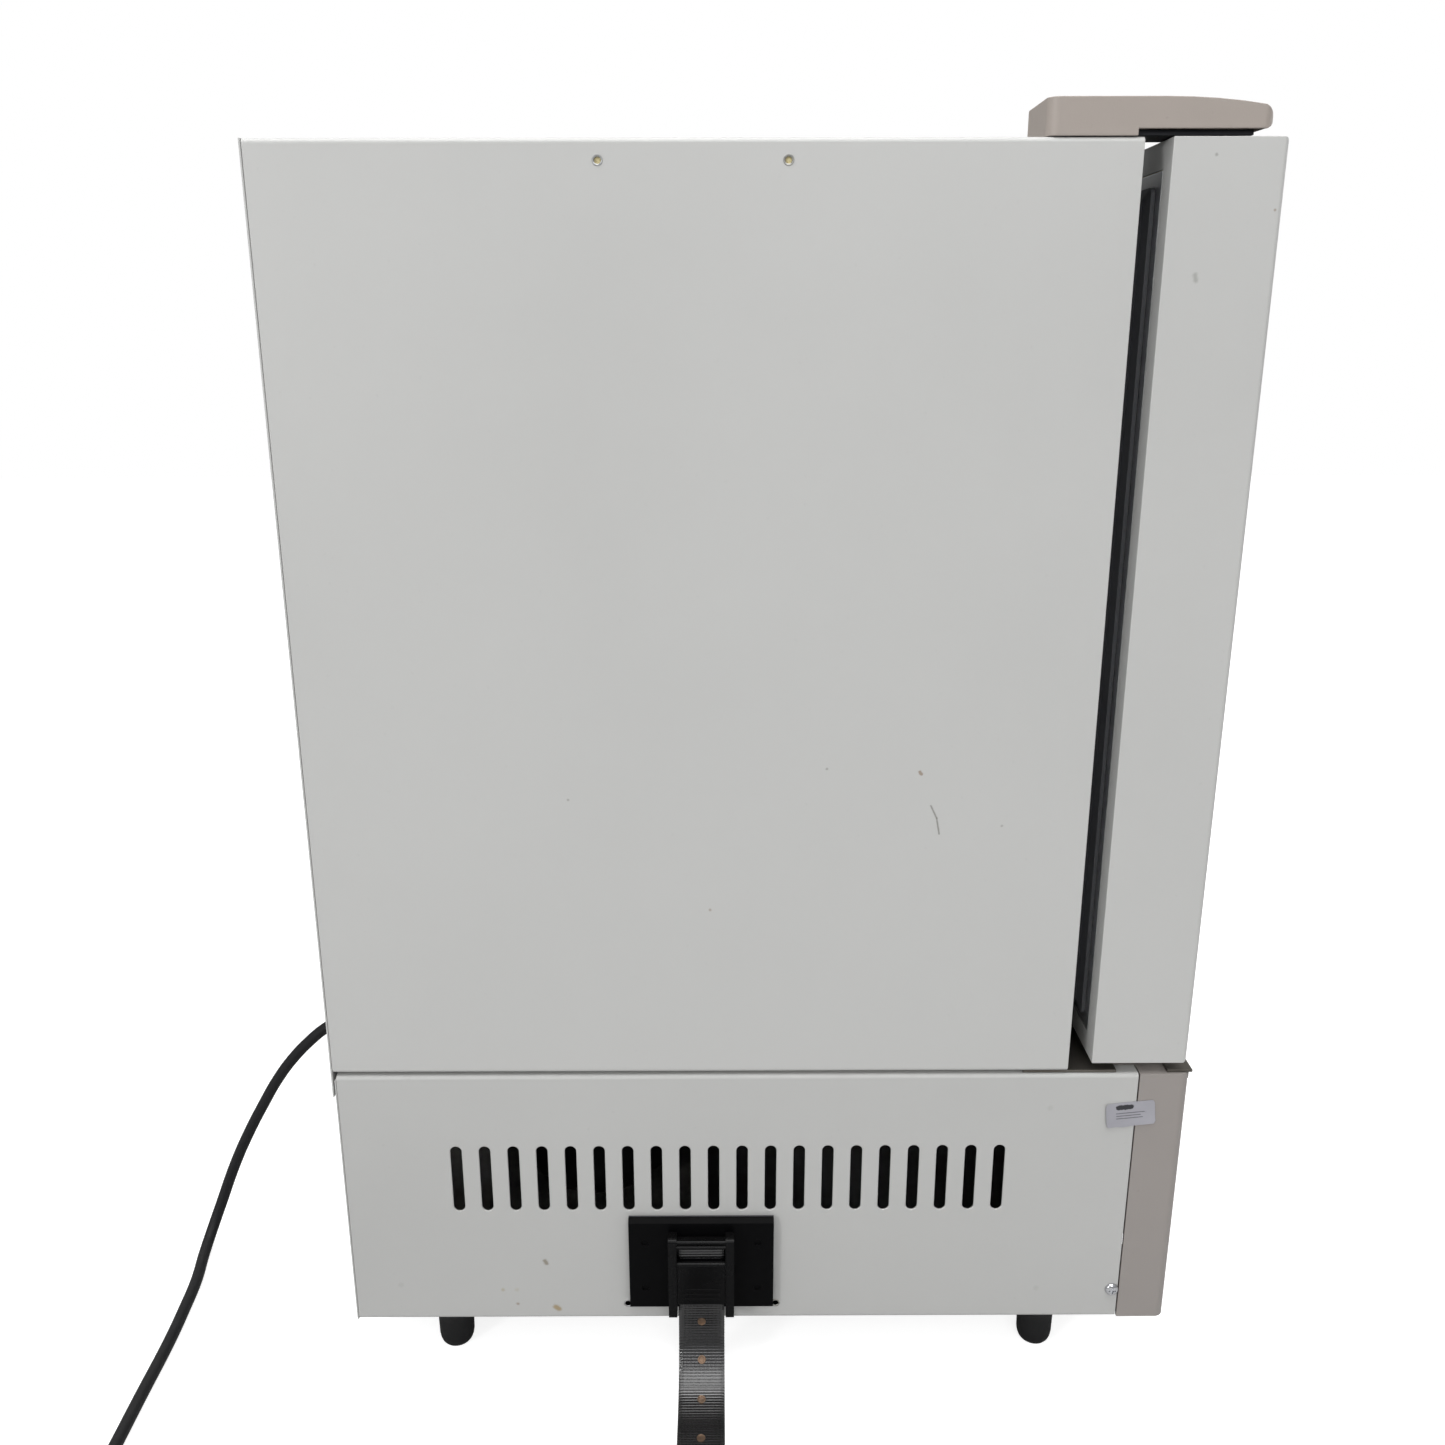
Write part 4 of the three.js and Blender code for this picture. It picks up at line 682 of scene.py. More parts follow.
ragged = node(stroke, "ShaderNodeTexNoise", Vector=given["Vector"], Scale=600.0, Detail=3.0)
line = vector_math(stroke, "SUBTRACT", given["End"], given["Start"])
offset = vector_math(stroke, "SUBTRACT", given["Vector"], given["Start"])
along = vector_math(stroke, "DOT_PRODUCT", offset, line, out=1)
whole = vector_math(stroke, "DOT_PRODUCT", line, line, out=1)
share = maths(stroke, "DIVIDE", along, whole, clamp=True)
nearest = node(stroke, "ShaderNodeVectorMath", operation="SCALE", Vector=line, Scale=share).outputs[0]
gap = vector_math(stroke, "DISTANCE", offset, nearest, out=1)
wobble = maths(stroke, "MULTIPLY_ADD", ragged.outputs["Fac"], 0.9, 0.55)
gap = maths(stroke, "MULTIPLY", gap, wobble)
solid = maths(stroke, "MULTIPLY", given["Width"], given["Fade"])
soft_edge = sha(stroke, "MapRange", interpolation_type="SMOOTHSTEP",
                inputs=[gap, solid, given["Width"], 1.0, 0.0])
stroke.links.new(maths(stroke, "MULTIPLY", soft_edge, given["Strength"]), result["Mask"])

SIDE_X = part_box("cabinet_shell")[0].x
SCRATCH_AND_SHADE_GREY, RUST, GREASE = srgb(120, 118, 112), srgb(128, 104, 80), srgb(160, 148, 118)


def on_side(y, z, y2=None, z2=None):
    """The ends of a stroke on the left side, from millimetres across and up."""
    start = (SIDE_X, y / 1000, z / 1000)
    return start, (start if y2 is None else (SIDE_X, y2 / 1000, z2 / 1000))


cabinet_marks = [
    (*on_side(-107.7, 435.5, -111.8, 427), 0.0009, 0.2, 0.75, SCRATCH_AND_SHADE_GREY),
    (*on_side(-111.8, 427, -113.8, 416.2), 0.0009, 0.2, 0.75, SCRATCH_AND_SHADE_GREY),
    (*on_side(-99.7, 458.5, -100.7, 457.0), 0.0016, 0.3, 0.7, RUST),
    (*on_side(-40.4, 460.7), 0.0013, 0.2, 0.6, SCRATCH_AND_SHADE_GREY),
    (*on_side(125.3, 440.2), 0.0013, 0.2, 0.55, SCRATCH_AND_SHADE_GREY),
    (*on_side(34.6, 363.1), 0.0015, 0.2, 0.5, RUST),
    (*on_side(-154.2, 421.6), 0.0013, 0.2, 0.5, SCRATCH_AND_SHADE_GREY),
]
panel_marks = [
    (*on_side(154.4, 88.8, 153.4, 86.8), 0.0024, 0.2, 0.75, srgb(120, 110, 92)),
    (*on_side(185.7, 64), 0.0022, 0.2, 0.55, GREASE),
    (*on_side(175.6, 64), 0.0026, 0.1, 0.3, GREASE),
    (*on_side(148, 49, 146, 47.5), 0.0032, 0.2, 0.8, srgb(150, 128, 84)),
    (*on_side(175.5, 51.8), 0.0018, 0.2, 0.6, RUST),
    # The three faint grey spots are painted shade for the raised spot-weld dimples, which are not modelled as bumps.
    (*on_side(-200, 213), 0.0030, 0.3, 0.14, SCRATCH_AND_SHADE_GREY),
    (*on_side(-200, 64), 0.0030, 0.3, 0.14, SCRATCH_AND_SHADE_GREY),
    (*on_side(259, 68.6), 0.0030, 0.3, 0.14, SCRATCH_AND_SHADE_GREY),
]
door_marks = [
    (*on_side(-244.8, 758.2, -245.6, 755.2), 0.0022, 0.1, 0.45, SCRATCH_AND_SHADE_GREY),
    (*on_side(-286.5, 792.9), 0.0012, 0.2, 0.6, RUST),
    (*on_side(-250.5, 822), 0.0014, 0.2, 0.55, SCRATCH_AND_SHADE_GREY),
]
# The second white is the same paint a shade darker: painted shade for the lower side and rear panels, which get less
# light than the cabinet above.
WHITE, PANEL_WHITE_SHADED = srgb(187, 187, 185), srgb(182, 182, 180)
cabinet_paint = coated("cabinet_paint", WHITE, 0.42, 0.0011, 0.00003, 0.012, 0.04, 0.16, cabinet_marks)
shaded_panel_paint = coated("lower_panel_paint", PANEL_WHITE_SHADED, 0.42, 0.0011, 0.00003, 0.014, 0.04, 0.16, panel_marks)
door_paint = coated("door_paint", WHITE, 0.42, 0.0011, 0.00003, 0.012, 0.04, 0.16, door_marks)


# ---- Cabinet ----
# One wrapped sheet of white powder-coated steel, with a rear panel and a folded front frame. The
# copies of the CAD solids get small rounded edges, as bent and sprayed sheet has.


def softened(cad_name, name, material, width=0.0005, segments=2, angle=35):
    """A copy of a CAD solid with its sharp edges rounded. It rides on the same body."""
    source = frame["nodes"][cad_name].data
    build = bmesh.new()
    build.from_mesh(mesh_from([v.co for v in source.vertices], [list(p.vertices) for p in source.polygons]))
    bmesh.ops.remove_doubles(build, verts=build.verts, dist=1e-6)
    bmesh.ops.dissolve_limit(build, angle_limit=math.radians(0.4), verts=build.verts, edges=build.edges)
    plain = bpy.data.meshes.new("plain")
    build.to_mesh(plain)
    build.free()
    plain.shade_smooth()
    holder = placed("holder", plain)
    if width:
        bevel = holder.modifiers.new("edges", "BEVEL")
        bevel.width, bevel.segments = width, segments
        bevel.limit_method, bevel.angle_limit = "ANGLE", math.radians(angle)
    else:
        plain.set_sharp_from_angle(angle=math.radians(angle))
    weighted = holder.modifiers.new("normals", "WEIGHTED_NORMAL")
    weighted.keep_sharp = True
    return finished(name, evaluated_mesh(holder), frame["nodes"][cad_name]["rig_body"], material,
                    [cad_name], smooth=0)


softened("cabinet_shell", "cabinet_wrap", cabinet_paint, 0.0005)
softened("upper_rear_panel", "cabinet_back", cabinet_paint, 0.0004)
softened("cabinet_front_frame", "front_frame", cabinet_paint, 0.0006)

# ---- Lower side panels ----
# Each is a channel of white sheet steel with folded flanges. Twenty upright vent slots with rolled
# rims and two fixing holes are punched through it.
SHEET, BEND, FLANGE, SEAM = 0.0012, 0.0030, 0.0120, 0.0008
SLOT_COUNT, SLOT_PITCH, SLOT_WIDTH, SLOT_HEIGHT = 20, 0.020, 0.008, 0.0525
SLOT_MIDDLE_Y, SLOT_MIDDLE_Z, SLOT_RIM = 0.023, 0.15725, 0.0007
FIXING_MIDDLE_Y, FIXING_SPACING, FIXING_Z, FIXING_RADIUS = 0.042, 0.107, 0.052, 0.0020

slotted, given, result = group_tree(
    "slotted_panel", "GeometryNodeTree",
    [("Panel", "Geometry"), ("Slots", "Int", 20), ("Pitch", "Float", 0.02), ("Slot width", "Float", 0.008),
     ("Slot height", "Float", 0.05), ("Slots from", "Vector"), ("Rim", "Float", 0.0006),
     ("Holes from", "Vector"), ("Hole spacing", "Float", 0.1), ("Hole radius", "Float", 0.002),
     ("Finish", "Material")], [("Geometry", "Geometry")],
)
half_width = maths(slotted, "MULTIPLY", given["Slot width"], 0.4999)
outline = geo(slotted, "CurvePrimitiveQuadrilateral", Width=given["Slot width"],
              Height=given["Slot height"])
rounded = geo(slotted, "FilletCurve", mode="POLY", Curve=outline, Count=9, Radius=half_width,
              Limit_Radius=True)
face = geo(slotted, "FillCurve", mode="NGONS", Curve=rounded)
BELOW, BEYOND = 0.004, 0.002
sunk = geo(slotted, "Transform", Geometry=face, Translation=(0, 0, -BELOW))
body, top = sunk, None
grown = 0.0
# The punch is straight up to the rim, then opens along a quarter circle, then runs on.
for rise, growth in ((None, 0.0), (0.5, 0.134), (0.366, 0.366), (0.134, 0.5), (BEYOND, 0.0)):
    if rise is None:
        lift = maths(slotted, "SUBTRACT", BELOW, given["Rim"])
    elif rise == BEYOND:
        lift = BEYOND
    else:
        lift = maths(slotted, "MULTIPLY", given["Rim"], rise)
    values = {"mode": "FACES", "Mesh": body, "Offset_Scale": lift, "Individual": False}
    if top:
        values["Selection"] = top
    pushed = node(slotted, "GeometryNodeExtrudeMesh", **values)
    body, top = pushed.outputs[0], pushed.outputs[1]
    if growth:
        for size, direction in (("Slot width", (1, 0, 0)), ("Slot height", (0, 1, 0))):
            before = maths(slotted, "MULTIPLY_ADD", given["Rim"], 2 * grown, given[size])
            after = maths(slotted, "MULTIPLY_ADD", given["Rim"], 2 * (grown + growth), given[size])
            body = geo(slotted, "ScaleElements", domain="FACE", scale_mode="SINGLE_AXIS",
                       Geometry=body, Selection=top, Scale=maths(slotted, "DIVIDE", after, before),
                       Axis=direction)
        grown += growth
closing = geo(slotted, "FlipFaces", Mesh=sunk)
punch = geo(slotted, "MergeByDistance", Geometry=join(slotted, closing, body), Distance=1e-6)
row_step = sha(slotted, "CombineXYZ", X=given["Pitch"])
row_points = geo(slotted, "MeshLine", mode="OFFSET", Count=given["Slots"],
                 Start_Location=given["Slots from"], Offset=row_step)
row = geo(slotted, "InstanceOnPoints", Points=row_points, Instance=punch)
hole_step = sha(slotted, "CombineXYZ", X=given["Hole spacing"])
hole_points = geo(slotted, "MeshLine", mode="OFFSET", Count=2,
                  Start_Location=given["Holes from"], Offset=hole_step)
drill = geo(slotted, "MeshCylinder", Vertices=32, Radius=given["Hole radius"], Depth=0.006)
holes = geo(slotted, "InstanceOnPoints", Points=hole_points, Instance=drill)
real = geo(slotted, "RealizeInstances", Geometry=join(slotted, row, holes))
cut = geo(slotted, "MeshBoolean", operation="DIFFERENCE", solver="EXACT", inputs=[given["Panel"], real])
coloured = geo(slotted, "SetMaterial", Geometry=cut, Material=given["Finish"])
slotted.links.new(coloured, result["Geometry"])


def arc(centre, radius, first, last, steps=6):
    return [(centre[0] + radius * math.cos(math.radians(first + (last - first) * k / steps)),
             centre[1] + radius * math.sin(math.radians(first + (last - first) * k / steps)))
            for k in range(steps + 1)]


def weighted_copy(mesh, angle=20):
    """The same mesh with shading that keeps its large faces flat."""
    mesh.shade_smooth()
    mesh.set_sharp_from_angle(angle=math.radians(angle))
    holder = placed("holder", mesh)
    holder.modifiers.new("normals", "WEIGHTED_NORMAL").keep_sharp = True
    return evaluated_mesh(holder)


for cad_name, side in (("lower_side_left", -1), ("lower_side_right", 1)):
    low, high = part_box(cad_name)
    z0, z1 = low.z, high.z
    section = [(z0, -FLANGE)] + arc((z0 + BEND, -BEND), BEND, 180, 90) + arc((z1 - BEND, -BEND), BEND, 90, 0)
    section += [(z1, -FLANGE), (z1 - SHEET, -FLANGE)]
    section += arc((z1 - BEND, -BEND), BEND - SHEET, 0, 90) + arc((z0 + BEND, -BEND), BEND - SHEET, 90, 180)
    section += [(z0 + SHEET, -FLANGE)]
    ends = sorted((side * (low.y + SEAM), side * high.y))
    channel = loft([[Vector((x, up, out)) for up, out in section] for x in ends])
    place = Matrix.Translation((low.x if side < 0 else high.x, 0, 0)) @ Matrix(
        ((0, 0, side), (side, 0, 0), (0, 1, 0))).to_4x4()
    slots_from = side * SLOT_MIDDLE_Y - (SLOT_COUNT - 1) / 2 * SLOT_PITCH
    panel = tree_on(None, None, slotted, "panel", {
        "Slots": SLOT_COUNT, "Pitch": SLOT_PITCH, "Slot width": SLOT_WIDTH, "Slot height": SLOT_HEIGHT,
        "Slots from": (slots_from, SLOT_MIDDLE_Z, 0), "Rim": SLOT_RIM,
        "Holes from": (side * FIXING_MIDDLE_Y - FIXING_SPACING / 2, FIXING_Z, 0),
        "Hole spacing": FIXING_SPACING, "Hole radius": FIXING_RADIUS, "Finish": shaded_panel_paint,
    }, carrier=channel)
    panel.transform(place)
    finished(cad_name.replace("lower_side", "vented_panel"), weighted_copy(outward(panel)), "machine",
             shaded_panel_paint, [cad_name], smooth=0)

# ---- Screws and rivet nuts ----
# Zinc-plated rivet nuts sit in the fixing holes. Chromed screws with a cross recess hold the front
# cover and the rear panels.


def cross_cut(made, head, radius, depth):
    """Cuts a cross recess in a screw head that stands on z."""
    recess = node(made, "GeometryNodeMeshBoolean", operation="DIFFERENCE", solver="EXACT", inputs=[head])
    for size in ((radius, radius * 0.24, depth), (radius * 0.24, radius, depth)):
        bar = geo(made, "MeshCube", Size=size)
        lifted = geo(made, "Transform", Geometry=bar, Translation=(0, 0, 0.0030))
        made.links.new(lifted, recess.inputs[1])
    return recess.outputs[0]


nut_tree = turned_part_tree("rivet_nuts", [
    (0.0, -12.0), (0.62, -12.0), (0.62, -0.2), (0.70, 0.6), (0.80, 1.0), (0.96, 0.9), (1.0, 0.5),
    (1.0, -0.5), (0.72, -0.5), (0.72, -13.0), (0.0, -13.0),
])
screw_tree = turned_part_tree("cross_screws", [
    (0.0, -1.04), (0.45, -1.0), (0.45, 0.0), (1.0, 0.02), (1.0, 0.16), (0.97, 0.34), (0.88, 0.62),
    (0.70, 0.84), (0.45, 0.95), (0.2, 0.99), (0.0, 1.0),
])
head = next(n for n in screw_tree.nodes if n.bl_idname == "GeometryNodeMergeByDistance")
placing = next(n for n in screw_tree.nodes if n.bl_idname == "GeometryNodeInstanceOnPoints")
screw_tree.links.new(cross_cut(screw_tree, head.outputs[0], 0.0050, 0.0034), placing.inputs["Instance"])
zinc = metal("zinc_plate", srgb(178, 180, 182), 0.38, streak_size=0.003, spread=0.1,
             tarnish=srgb(150, 148, 140), relief=0.00002)
chrome = metal("screw_chrome", srgb(196, 197, 200), 0.22, streak_size=0.0015, spread=0.08)
RIGHT_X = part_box("cabinet_shell")[1].x
nut_spots, nut_ways = [], []
for x, way in ((SIDE_X, -1), (RIGHT_X, 1)):
    for s in (-0.5, 0.5):
        for z in (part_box("cabinet_shell")[1].z - 0.012, FIXING_Z):
            nut_spots.append((x, FIXING_MIDDLE_Y + s * FIXING_SPACING, z))
            nut_ways.append((way, 0, 0))
turned_parts("rivet_nuts", nut_spots, nut_ways, nut_tree, 0.0031, 0.0003, zinc, "zinc_plate")
screw_low, screw_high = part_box("side_screw_left")
screw_y, screw_z = (screw_low.y + screw_high.y) / 2, (screw_low.z + screw_high.z) / 2
screw_spots = [((SIDE_X, screw_y, screw_z), (-1, 0, 0)), ((RIGHT_X, screw_y, screw_z), (1, 0, 0))]
back_low, back_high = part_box("upper_rear_panel")
under_low, under_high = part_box("lower_rear_panel")
for x in (back_low.x + 0.012, (back_low.x + back_high.x) / 2, back_high.x - 0.012):
    screw_spots += [((x, back_high.y, z), (0, 1, 0)) for z in (back_low.z + 0.012, back_high.z - 0.012)]
    screw_spots += [((x, under_high.y, z), (0, 1, 0)) for z in (under_low.z + 0.010, back_low.z - 0.012)]
for z in (0.42, 0.63):
    screw_spots += [((x, back_high.y, z), (0, 1, 0)) for x in (back_low.x + 0.012, back_high.x - 0.012)]
turned_parts("cover_screws", *zip(*screw_spots), screw_tree, 0.0049, 0.0028, chrome, "screw_chrome",
             ["side_screw_left", "side_screw_right"])

# ---- Door ----
# A foamed door of white sheet steel with folded edges. Its stainless inner liner stands out as a
# shallow plug, with a soft magnetic gasket all round and a moulded grip in its free edge.
stainless = metal("brushed_stainless", srgb(214, 215, 217), 0.38, streak=(1, 1, 0.03), streak_size=0.0009,
                  spread=0.08, patch=0.2)
softened("door_shell", "door_skin", door_paint, 0.0005)
softened("door_liner", "door_inner_panel", stainless, 0.0015, 3)
cap_plastic = coated("hinge_cover_plastic", srgb(157, 148, 141), 0.48, 0.0007, 0.00006, 0.03, 0.2, 0.05)
softened("door_grip", "door_grip_cup", cap_plastic, 0.0008)
nylon = coated("white_nylon", srgb(226, 222, 210), 0.45, 0.0008, 0.00004, 0.05, 0.1, 0.03)
for end in ("top", "bottom"):
    softened(f"door_bush_{end}", f"hinge_bush_{end}", nylon, 0.0004)

gasket_low, gasket_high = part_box("door_gasket")
GASKET_ROUND, MM = 0.004, 0.001
gasket_profile = [  # inset from the outer edge and distance from the door, in millimetres
    (4, 0), (20, 0), (20, 2.5), (15.5, 4.2), (13.5, 5.2), (15.8, 6.6), (13.2, 8.2), (15.5, 9.6), (18, 10.0),
    (22.5, 10.2), (23.8, 11.2), (24, 13), (23.4, 15.0), (22, 15.4), (2, 15.4), (0.6, 15.0), (0, 13),
    (0.2, 11.2), (1.5, 10.2), (6, 10.0), (8.5, 9.6), (10.6, 8.2), (8.2, 6.6), (10.4, 5.2), (8.5, 4.2),
    (4, 2.5),
]
seal_rings = []
for side_x, side_z, first in ((1, 1, 0), (-1, 1, 90), (-1, -1, 180), (1, -1, 270)):
    edge_x = gasket_high.x if side_x > 0 else gasket_low.x
    edge_z = gasket_high.z if side_z > 0 else gasket_low.z
    for step in range(5):
        angle = math.radians(first + step * 22.5)
        ring = []
        for inset, rise in gasket_profile:
            corner = GASKET_ROUND if inset < 12 else 0.0015
            ring.append((edge_x - side_x * (inset * MM + corner) + math.cos(angle) * corner,
                         gasket_low.y + rise * MM,
                         edge_z - side_z * (inset * MM + corner) + math.sin(angle) * corner))
        seal_rings.append(ring)
gasket_vinyl = coated("gasket_vinyl", srgb(76, 77, 80), 0.5, 0.0008, 0.00005, 0.08, 0.1, 0.06)
finished("door_seal", loft(seal_rings, True), "door", gasket_vinyl, ["door_gasket"], smooth=30)

# ---- Hinge ----
# A moulded cover hides the top hinge arm. The bottom hinge plate is dull zinc-plated steel.
softened("top_hinge_cover", "hinge_cover", cap_plastic, 0.0012, 3, 25)
blackened = metal("blackened_steel", srgb(52, 53, 56), 0.45, streak_size=0.001, spread=0.2)
softened("top_hinge_bracket", "hinge_arm", blackened, 0.0004)
dull_zinc = metal("dull_zinc", srgb(120, 116, 110), 0.5, streak_size=0.0012, spread=0.2,
                  tarnish=srgb(84, 80, 74), relief=0.00003)
softened("bottom_hinge_plate", "hinge_plate", dull_zinc, 0.0003)

# ---- Front cover and controls ----
# A beige sprayed cover that wraps round the front corners of the lower compartment. Behind its
# recess lie a dark red display window, three ivory keys and a black rocker switch.
cover_paint = coated("cover_paint", srgb(147, 141, 137), 0.46, 0.0010, 0.00005, 0.02, 0.08, 0.1)
softened("front_cover", "lower_front_cover", cover_paint, 0.0006)
lens_red, tree, shader, place = new_material("display_lens")
skin = use_group(tree, grain, Vector=place, Grain_size=0.002, Patch_size=0.03)
tone = mix_colour(tree, skin["Patches"], srgb(20, 6, 8), srgb(32, 9, 11))
feed(shader, Base_Color=tone, Roughness=0.08, Coat_Weight=0.6)
softened("display_window", "display_lens", lens_red, 0.0003)
window_low, window_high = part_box("display_window")
DIGIT_WIDTH, DIGIT_HEIGHT, STROKE_WIDE = 0.0125, 0.0240, 0.0026
SEGMENTS = {"3": "abgcd", "7": "abc", "0": "abcdef"}
segment_places = {
    "a": (0, 0.5, 1), "b": (0.5, 0.25, 0), "c": (0.5, -0.25, 0), "d": (0, -0.5, 1), "e": (-0.5, -0.25, 0),
    "f": (-0.5, 0.25, 0), "g": (0, 0, 1),
}
digits = bmesh.new()
middle_z = (window_low.z + window_high.z) / 2
for k, digit in enumerate("370"):
    middle_x = (window_low.x + window_high.x) / 2 + (k - 1) * 0.0215
    for segment in SEGMENTS[digit]:
        across_share, up_share, flat = segment_places[segment]
        x = middle_x + across_share * DIGIT_WIDTH + up_share * 0.002
        z = middle_z + up_share * DIGIT_HEIGHT
        half_x = (DIGIT_WIDTH - STROKE_WIDE) / 2 - 0.0003 if flat else STROKE_WIDE / 2
        half_z = STROKE_WIDE / 2 if flat else DIGIT_HEIGHT / 4 - STROKE_WIDE / 2 - 0.0002
        box_faces(digits, (x - half_x, window_low.y - 0.00012, z - half_z),
                  (x + half_x, window_low.y + 0.0002, z + half_z), 0.00008, 1)
    if k == 1:
        box_faces(digits, (middle_x + 0.0093, window_low.y - 0.00012, middle_z - 0.0132),
                  (middle_x + 0.0119, window_low.y + 0.0002, middle_z - 0.0106), 0.00008, 1)
lit, tree, shader, place = new_material("lit_segments")
flicker = node(tree, "ShaderNodeTexNoise", Vector=place, Scale=700.0)
glowing = mix_colour(tree, flicker.outputs["Fac"], (0.75, 0.02, 0.01, 1), (1.0, 0.06, 0.03, 1))
feed(shader, Base_Color=glowing, Emission_Color=glowing, Emission_Strength=1.2)
finished("display_digits", tidied(digits), "machine", lit, smooth=0)

ivory = coated("ivory_keys", srgb(222, 219, 210), 0.5, 0.0007, 0.00004, 0.03, 0.1, 0.02)
print_grey = coated("printed_grey", srgb(70, 70, 74), 0.6, 0.0008, 0.00002, 0.08, 0.0, 0.02)
for key in ("down", "up", "set"):
    softened(f"key_{key}", f"key_{key}_cap", ivory, 0.0012, 3)
    low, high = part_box(f"key_{key}")
    x, z = (low.x + high.x) / 2, (low.z + high.z) / 2
    sign = bmesh.new()
    if key == "set":
        outer, inner = ([(r * math.cos(a), r * math.sin(a)) for a in np.linspace(0, 2 * math.pi, 25)[:-1]]
                        for r in (0.0024, 0.0015))
        shapes = [[outer[i], outer[(i + 1) % 24], inner[(i + 1) % 24], inner[i]] for i in range(24)]
    else:
        tip = 0.0022 if key == "up" else -0.0022
        shapes = [[(-0.0026, -tip), (0.0026, -tip), (0.0, tip)]]
    for shape in shapes:
        rows = [[sign.verts.new((x + px, low.y + depth, z + pz)) for px, pz in shape]
                for depth in (-0.0001, 0.0001)]
        sign.faces.new(rows[0])
        sign.faces.new(rows[1][::-1])
        for i in range(len(shape)):
            j = (i + 1) % len(shape)
            sign.faces.new((rows[0][i], rows[0][j], rows[1][j], rows[1][i]))
    finished(f"key_{key}_sign", tidied(sign), f"{key}_key", print_grey, smooth=0)
gloss_black = coated("switch_plastic", srgb(22, 22, 24), 0.28, 0.0009, 0.00003, 0.1, 0.1, 0.02)
softened("power_switch_housing", "switch_body", gloss_black, 0.0004)
softened("power_switch_rocker", "switch_rocker_cap", gloss_black, 0.0005)

# ---- Chamber ----
# A stainless liner with a duct panel over the fan, the heater and the cooling coil. Two wire
# shelves slide on side racks.
softened("chamber_liner", "chamber_wall", stainless, 0.0006)
softened("air_duct_panel", "duct_panel", stainless, 0.0003)
for side in ("left", "right"):
    softened(f"shelf_rack_{side}", f"rack_{side}", stainless, 0.0003)
softened("temperature_probe", "probe", stainless, 0.0003)
softened("heater_element", "heater_ring", stainless, 0)
aluminium = metal("mill_aluminium", srgb(196, 198, 200), 0.36, streak=(1, 0.1, 1), streak_size=0.0012)
softened("circulation_fan", "chamber_fan_blades", aluminium, 0.0002, 1)
softened("circulation_fan_motor", "chamber_fan_motor", blackened, 0.0004)

wire_rack, given, result = group_tree(
    "wire_shelf", "GeometryNodeTree",
    [("Shelf", "Geometry"), ("Width", "Float", 0.47), ("Depth", "Float", 0.34), ("Wires", "Int", 30),
     ("Wire radius", "Float", 0.0015), ("Frame radius", "Float", 0.0025), ("Corner", "Float", 0.012),
     ("Finish", "Material")], [("Geometry", "Geometry")],
)
frame_round = geo(wire_rack, "CurvePrimitiveCircle", Resolution=14, Radius=given["Frame radius"])
wire_round = geo(wire_rack, "CurvePrimitiveCircle", Resolution=10, Radius=given["Wire radius"])
rim_line = geo(wire_rack, "CurvePrimitiveQuadrilateral", Width=given["Width"], Height=given["Depth"])
rim_round = geo(wire_rack, "FilletCurve", mode="POLY", Curve=rim_line, Count=6,
                Radius=given["Corner"], Limit_Radius=True)
rim = geo(wire_rack, "CurveToMesh", Curve=rim_round, Profile_Curve=frame_round)


def straight(axis, size, profile):
    """A straight wire of the shelf along x or y, as long as the shelf."""
    start, end = (sha(wire_rack, "CombineXYZ", **{axis: maths(wire_rack, "MULTIPLY", size, share)})
                  for share in (-0.5, 0.5))
    line = geo(wire_rack, "CurvePrimitiveLine", Start=start, End=end)
    return geo(wire_rack, "CurveToMesh", Curve=line, Profile_Curve=profile, Fill_Caps=True)


pitch_between = maths(wire_rack, "DIVIDE", given["Width"], maths(wire_rack, "ADD", given["Wires"], 1.0))
first_wire = maths(wire_rack, "SUBTRACT", pitch_between, maths(wire_rack, "MULTIPLY", given["Width"], 0.5))
wire_spots = geo(wire_rack, "MeshLine", mode="OFFSET", Count=given["Wires"],
                 Start_Location=sha(wire_rack, "CombineXYZ", X=first_wire),
                 Offset=sha(wire_rack, "CombineXYZ", X=pitch_between))
wire = straight("Y", given["Depth"], wire_round)
wires = geo(wire_rack, "InstanceOnPoints", Points=wire_spots, Instance=wire)
bar = straight("X", given["Width"], frame_round)
give_out(wire_rack, join(wire_rack, rim, wires, bar), given, result)
SHELF_FRAME = 0.0025
bright_wire = metal("bright_wire", srgb(200, 202, 205), 0.2, streak_size=0.002, spread=0.06)
for cad_name, body in (("shelf_1", "shelf_lower"), ("shelf_2", "shelf_upper")):
    low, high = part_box(cad_name)
    shelf = tree_on([(0, 0, 0)], None, wire_rack, "shelf", {
        "Width": high.x - low.x - 2 * SHELF_FRAME, "Depth": high.y - low.y - 2 * SHELF_FRAME, "Wires": 30,
        "Wire radius": 0.0015, "Frame radius": SHELF_FRAME, "Corner": 0.012, "Finish": bright_wire})
    shelf.transform(Matrix.Translation((low + high) / 2))
    finished("wire_" + cad_name, outward(shelf), body, bright_wire, [cad_name], smooth=40)

